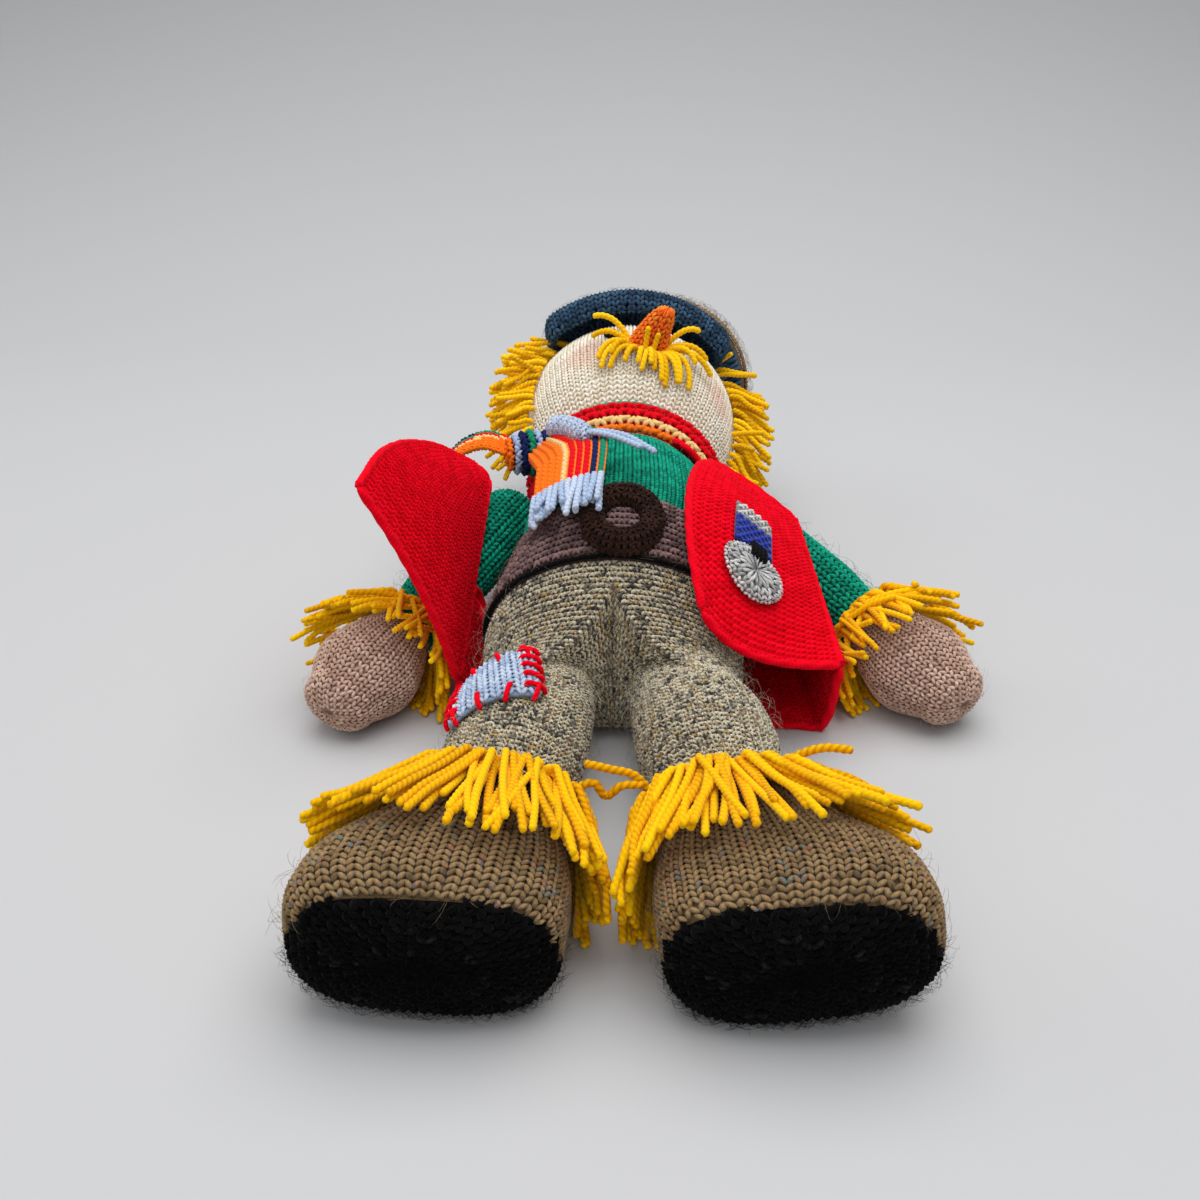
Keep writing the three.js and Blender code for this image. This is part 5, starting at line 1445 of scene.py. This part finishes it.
# Scarf
# A narrow knitted scarf with stripes along its length, tied beside the chin. One end lies on the chest with
# a light-blue fringe and a curled edge, and the other goes back over the right shoulder.
STRIPES = ("ff7d18", "f6d28c", "ec0a1e", "14906c", "16265c", "a9c0e4")
scarf_wool = wool("striped_wool", [(k / len(STRIPES), code) for k, code in enumerate(STRIPES)],
                  interpolation="CONSTANT", heather=0.03, sheen=0.05, gloss=0.05)


def stripe(index, rng, count):
    """The shades of stitches in the stripes of given numbers."""
    return (np.broadcast_to(index, count) + rng.uniform(0.3, 0.7, count)) / len(STRIPES)


def stripes_by_row(order):
    """A shade for stitches from the number of each row's stripe."""
    order = np.array(order)
    return lambda centres, row, rng: stripe(order[np.minimum(row, len(order) - 1)], rng, len(row))


NECK_Y, NECK_Z = HEAD_AT[1:]
COLLAR_STITCH = 0.0062
COLLAR_INNER = CHEST_RADIUS * 0.815
COLLAR_KNOTS = (0, 0.15, 0.42, 0.66, 0.88, 1.0)
COLLAR_SECTION = np.array(((-4.15, -10), (-1.7, -11.5), (2.2, -4), (5.0, 3), (5.8, 6.6), (1.6, 6.8)))


def collar_place(u, v, grow=0.0):
    """The scarf round the neck: u runs over the band from its lower to its upper edge."""
    angle = 2 * np.pi * v
    out = smooth(u, COLLAR_KNOTS, COLLAR_SECTION[:, 0]) + COLLAR_INNER + grow
    along = smooth(u, COLLAR_KNOTS, COLLAR_SECTION[:, 1])
    return in_frame(np.stack([1.14 * out * np.sin(angle), NECK_Y + along, NECK_Z + out * np.cos(angle)], -1))


collar_work = Work()
skin(collar_work, grown(collar_place, -1.6), 0.0, 1.0, rows=10, columns=60, shade=0.4)
knit(collar_work, grown(collar_place, -0.6), (0.0, 1.0), COLLAR_STITCH, PURL, 131,
     shade=stripes_by_row((0, 0, 1, 2, 2, 2)))
collar = collar_work.piece("scarf_neck", scarf_wool)
settle(collar, "trunk", "striped_knit", "scarf_collar")


def neck_edge_place(u, v):
    """The top edge of the jumper, which shows between the scarf and the chin."""
    angle = np.radians(-36 + 64 * np.asarray(v))
    out = 39.3 + 0.9 * np.asarray(u)
    y = NECK_Y + 6 + 5 * np.asarray(u)
    return in_frame(np.stack([1.06 * out * np.sin(angle), y, NECK_Z + out * np.cos(angle)], -1))


NECK_STITCH = 0.0034
neck_work = Work()
sheet_skin(neck_work, neck_edge_place, 0.001)
knit(neck_work, neck_edge_place, (0, 1), NECK_STITCH, PURL, 137, closed=False)
neck_edge = neck_work.piece("jumper_neck_edge", green_wool)
settle(neck_edge, "trunk", "green_knit")

KNOT = np.array((-44, 141, 69.5))
KNOT_STITCH = 0.0050
knot_form = StuffedForm([(-6, 0, 0, 9, 9, 0), (0, 0, 0, 10.5, 10.5, 0), (6, 0, 0, 9.5, 9.5, 0)], 5, 5,
                        turn_about("z", -75), KNOT)
knot_work = Work()
# The form under the knot's stitches takes the navy stripe, so the gaps between the stitches look dark:
# painted shade.
skin(knot_work, grown(knot_form.place, -1.6), 0.0, 1.0, rows=12, columns=24, shade=0.75)
knit(knot_work, grown(knot_form.place, -0.8), (0.05, 0.95), KNOT_STITCH, PURL, 132,
     shade=stripes_by_row((0, 0, 5, 4, 3, 5, 4, 3, 0)))
knot = knot_work.piece("scarf_tied_knot", scarf_wool)
settle(knot, "trunk", "striped_knit", "scarf_knot")

END_TOP, END_LONG = 130.8, 90
SCARF_STITCH = 0.0042
CURL_STITCH = 0.0036
FRINGE_YARN = 0.0013


def end_lift(u):
    """How far the end on the chest stands off the body."""
    return smooth(u, (0, 0.2, 0.6, 1.0), (4.0, 8.5, 9.0, 7.0))


def scarf_front_place(u, v):
    """The end on the chest: u runs down from the knot, and v across from the doll's right."""
    left = np.radians(-58 + 17 * np.minimum(1, u * 1.6))
    right = np.radians(-34 + 27 * np.minimum(1, u * 2))
    y = END_TOP - END_LONG * u
    around = (left + (right - left) * v) / (2 * np.pi)
    return body.place(np.interp(y, body.heights, body.track), around, end_lift(u) + 1.7)


def end_stripes(centres, row, rng):
    y = (centres[:, 1] - HIPS[1]) / MM
    u = np.clip((END_TOP - y) / END_LONG, 0, 1)
    low = scarf_front_place(u, np.zeros(len(u)))[:, 0]
    high = scarf_front_place(u, np.ones(len(u)))[:, 0]
    share = np.clip((centres[:, 0] - low) / (high - low), 0, 0.999)
    order = np.array((0, 0, 0, 0, 1, 2, 2, 2, 4, 3))
    return stripe(order[(share * 10).astype(int)], rng, len(y))


end_cloth, end_stitches = knitted_sheet(
    "scarf_chest_end", lambda u, v: scarf_front_place(1 - v, 1 - u), SCARF_STITCH, 133, scarf_wool,
    shade=end_stripes, rim=False, under=0.08)
for made in (end_cloth, end_stitches):
    in_frame((-31, 132, 77))
    in_frame((-31, 114, 77))
    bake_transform(made)
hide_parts("scarf_front_end")
flat_of(scarf_front_place)

fringe_work = Work()
rng = np.random.default_rng(134)
for v in np.linspace(0.03, 0.97, 12):
    for layer in range(2):
        edge = scarf_front_place(np.array(1.0), np.array(v))
        before = scarf_front_place(np.array(0.93), np.array(v))
        down = (edge - before) / np.linalg.norm(edge - before)
        sway = rng.normal(0, 0.0012, 3)
        reach = 0.013 * rng.uniform(0.85, 1.15)
        out = np.array((0, 0, 0.0012 + 0.0022 * layer))
        line = [
            edge - down * 0.003 + out,
            edge + down * reach * 0.35 + out * 1.3,
            edge + down * reach * 0.7 + out + sway * 0.6,
            edge + down * reach + sway + out * 0.5,
        ]
        yarn_strand(fringe_work, line, FRINGE_YARN, rng)
fringe = fringe_work.piece("scarf_chest_fringe", patch_wool)


def curl_spots(stations):
    """Points above the end on the chest, from how far down it they lie, their degrees round and their
    height."""
    along, degrees, height = np.array(stations, float).T
    lift = 10.5 + 4 * (along / END_LONG) ** 2 + height
    return body.place(np.interp(END_TOP - along, body.heights, body.track), degrees / 360, lift)


curl_line = curl_spots(((8, -37, 1.0), (16, -33, 2.6), (28, -25, 2.8), (40, -19, 2.0), (50, -15, 1.0)))


def curl_place(u, v, grow=0.0):
    """The rolled edge: a tube along the curl's line."""
    centre = along_curve(curl_line, u)
    along = along_curve(curl_line, u + 0.02) - along_curve(curl_line, u - 0.02)
    along /= np.linalg.norm(along, axis=-1, keepdims=True)
    side = np.cross(along, np.array((0, 0, 1.0)))
    side /= np.linalg.norm(side, axis=-1, keepdims=True)
    top = np.cross(side, along)
    size = (smooth(u, (0, 0.15, 0.6, 0.9, 1.0), (2.4, 3.9, 4.1, 3.4, 2.0)) + grow) * MM
    angle = -2 * np.pi * np.asarray(v)
    return centre + size[..., None] * (np.cos(angle)[..., None] * top - np.sin(angle)[..., None] * side)


curl_work = Work()
skin(curl_work, grown(curl_place, -1.0), 0.0, 1.0, rows=14, columns=16)
knit(curl_work, grown(curl_place, -0.5), (0.0, 1.0), CURL_STITCH, PURL, 135, brick=True)
for lean, reach in ((5, 13), (10, 19)):
    line = curl_spots((
        (45, -16, 2.0), (50, -15 + lean * 0.6, 2.6), (54, -11 + lean, 1.8),
        (56 + reach * 0.5, reach - 5, -0.5),
    ))
    yarn_strand(curl_work, line, FRINGE_YARN, rng)
curl = curl_work.piece("scarf_curl", patch_wool)
for made, node in ((fringe, "scarf_front_fringe"), (curl, "scarf_curled_edge")):
    settle(made, "scarf_front", "light_blue_knit", node)

BACK_LINE = KNOT + np.array(((-10.7, 3, 2), (-21, 6, 4), (-32, 8, 0), (-42, 10, -10)))


def scarf_back_place(u, v):
    """The end at the shoulder: u runs out from the knot, and v across."""
    line = along_curve(BACK_LINE, u)
    shift = np.zeros(line.shape)
    shift[..., 1] = (np.asarray(v) - 0.5) * 21
    return in_frame(line + shift)


def back_stripes(centres, row, rng):
    y = (centres[:, 1] - HIPS[1]) / MM
    order = np.array((0, 0, 0, 1, 2, 3, 4, 4))
    return stripe(order[np.clip((y - 138) / 3.2, 0, 7).astype(int)], rng, len(y))


tail_cloth, tail_stitches = knitted_sheet(
    "scarf_shoulder_end", lambda u, v: scarf_back_place(v, u), SCARF_STITCH, 136, scarf_wool,
    shade=back_stripes, rim=False, under=0.08)
for made in (tail_cloth, tail_stitches):
    in_frame((-54, 146, 72))
    in_frame((-66, 148, 72))
    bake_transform(made)
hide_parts("scarf_back_end")
flat_of(scarf_back_place)

tail_work = Work()
for v in np.linspace(0.06, 0.94, 8):
    edge = scarf_back_place(np.array(1.0), np.array(v))
    sway = rng.normal(0, 0.001, 3)
    line = [
        edge + (0.002, 0, 0.001),
        edge + (-0.002, 0, -0.003) + sway * 0.3,
        edge + (-0.005, 0, -0.009) + sway,
        edge + (-0.008, 0, -0.015) + sway * 1.5,
    ]
    yarn_strand(tail_work, line, FRINGE_YARN, rng)
tail_fringe = tail_work.piece("scarf_shoulder_fringe", patch_wool)
settle(tail_fringe, "scarf_back", "light_blue_knit", "scarf_back_fringe")

low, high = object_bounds()
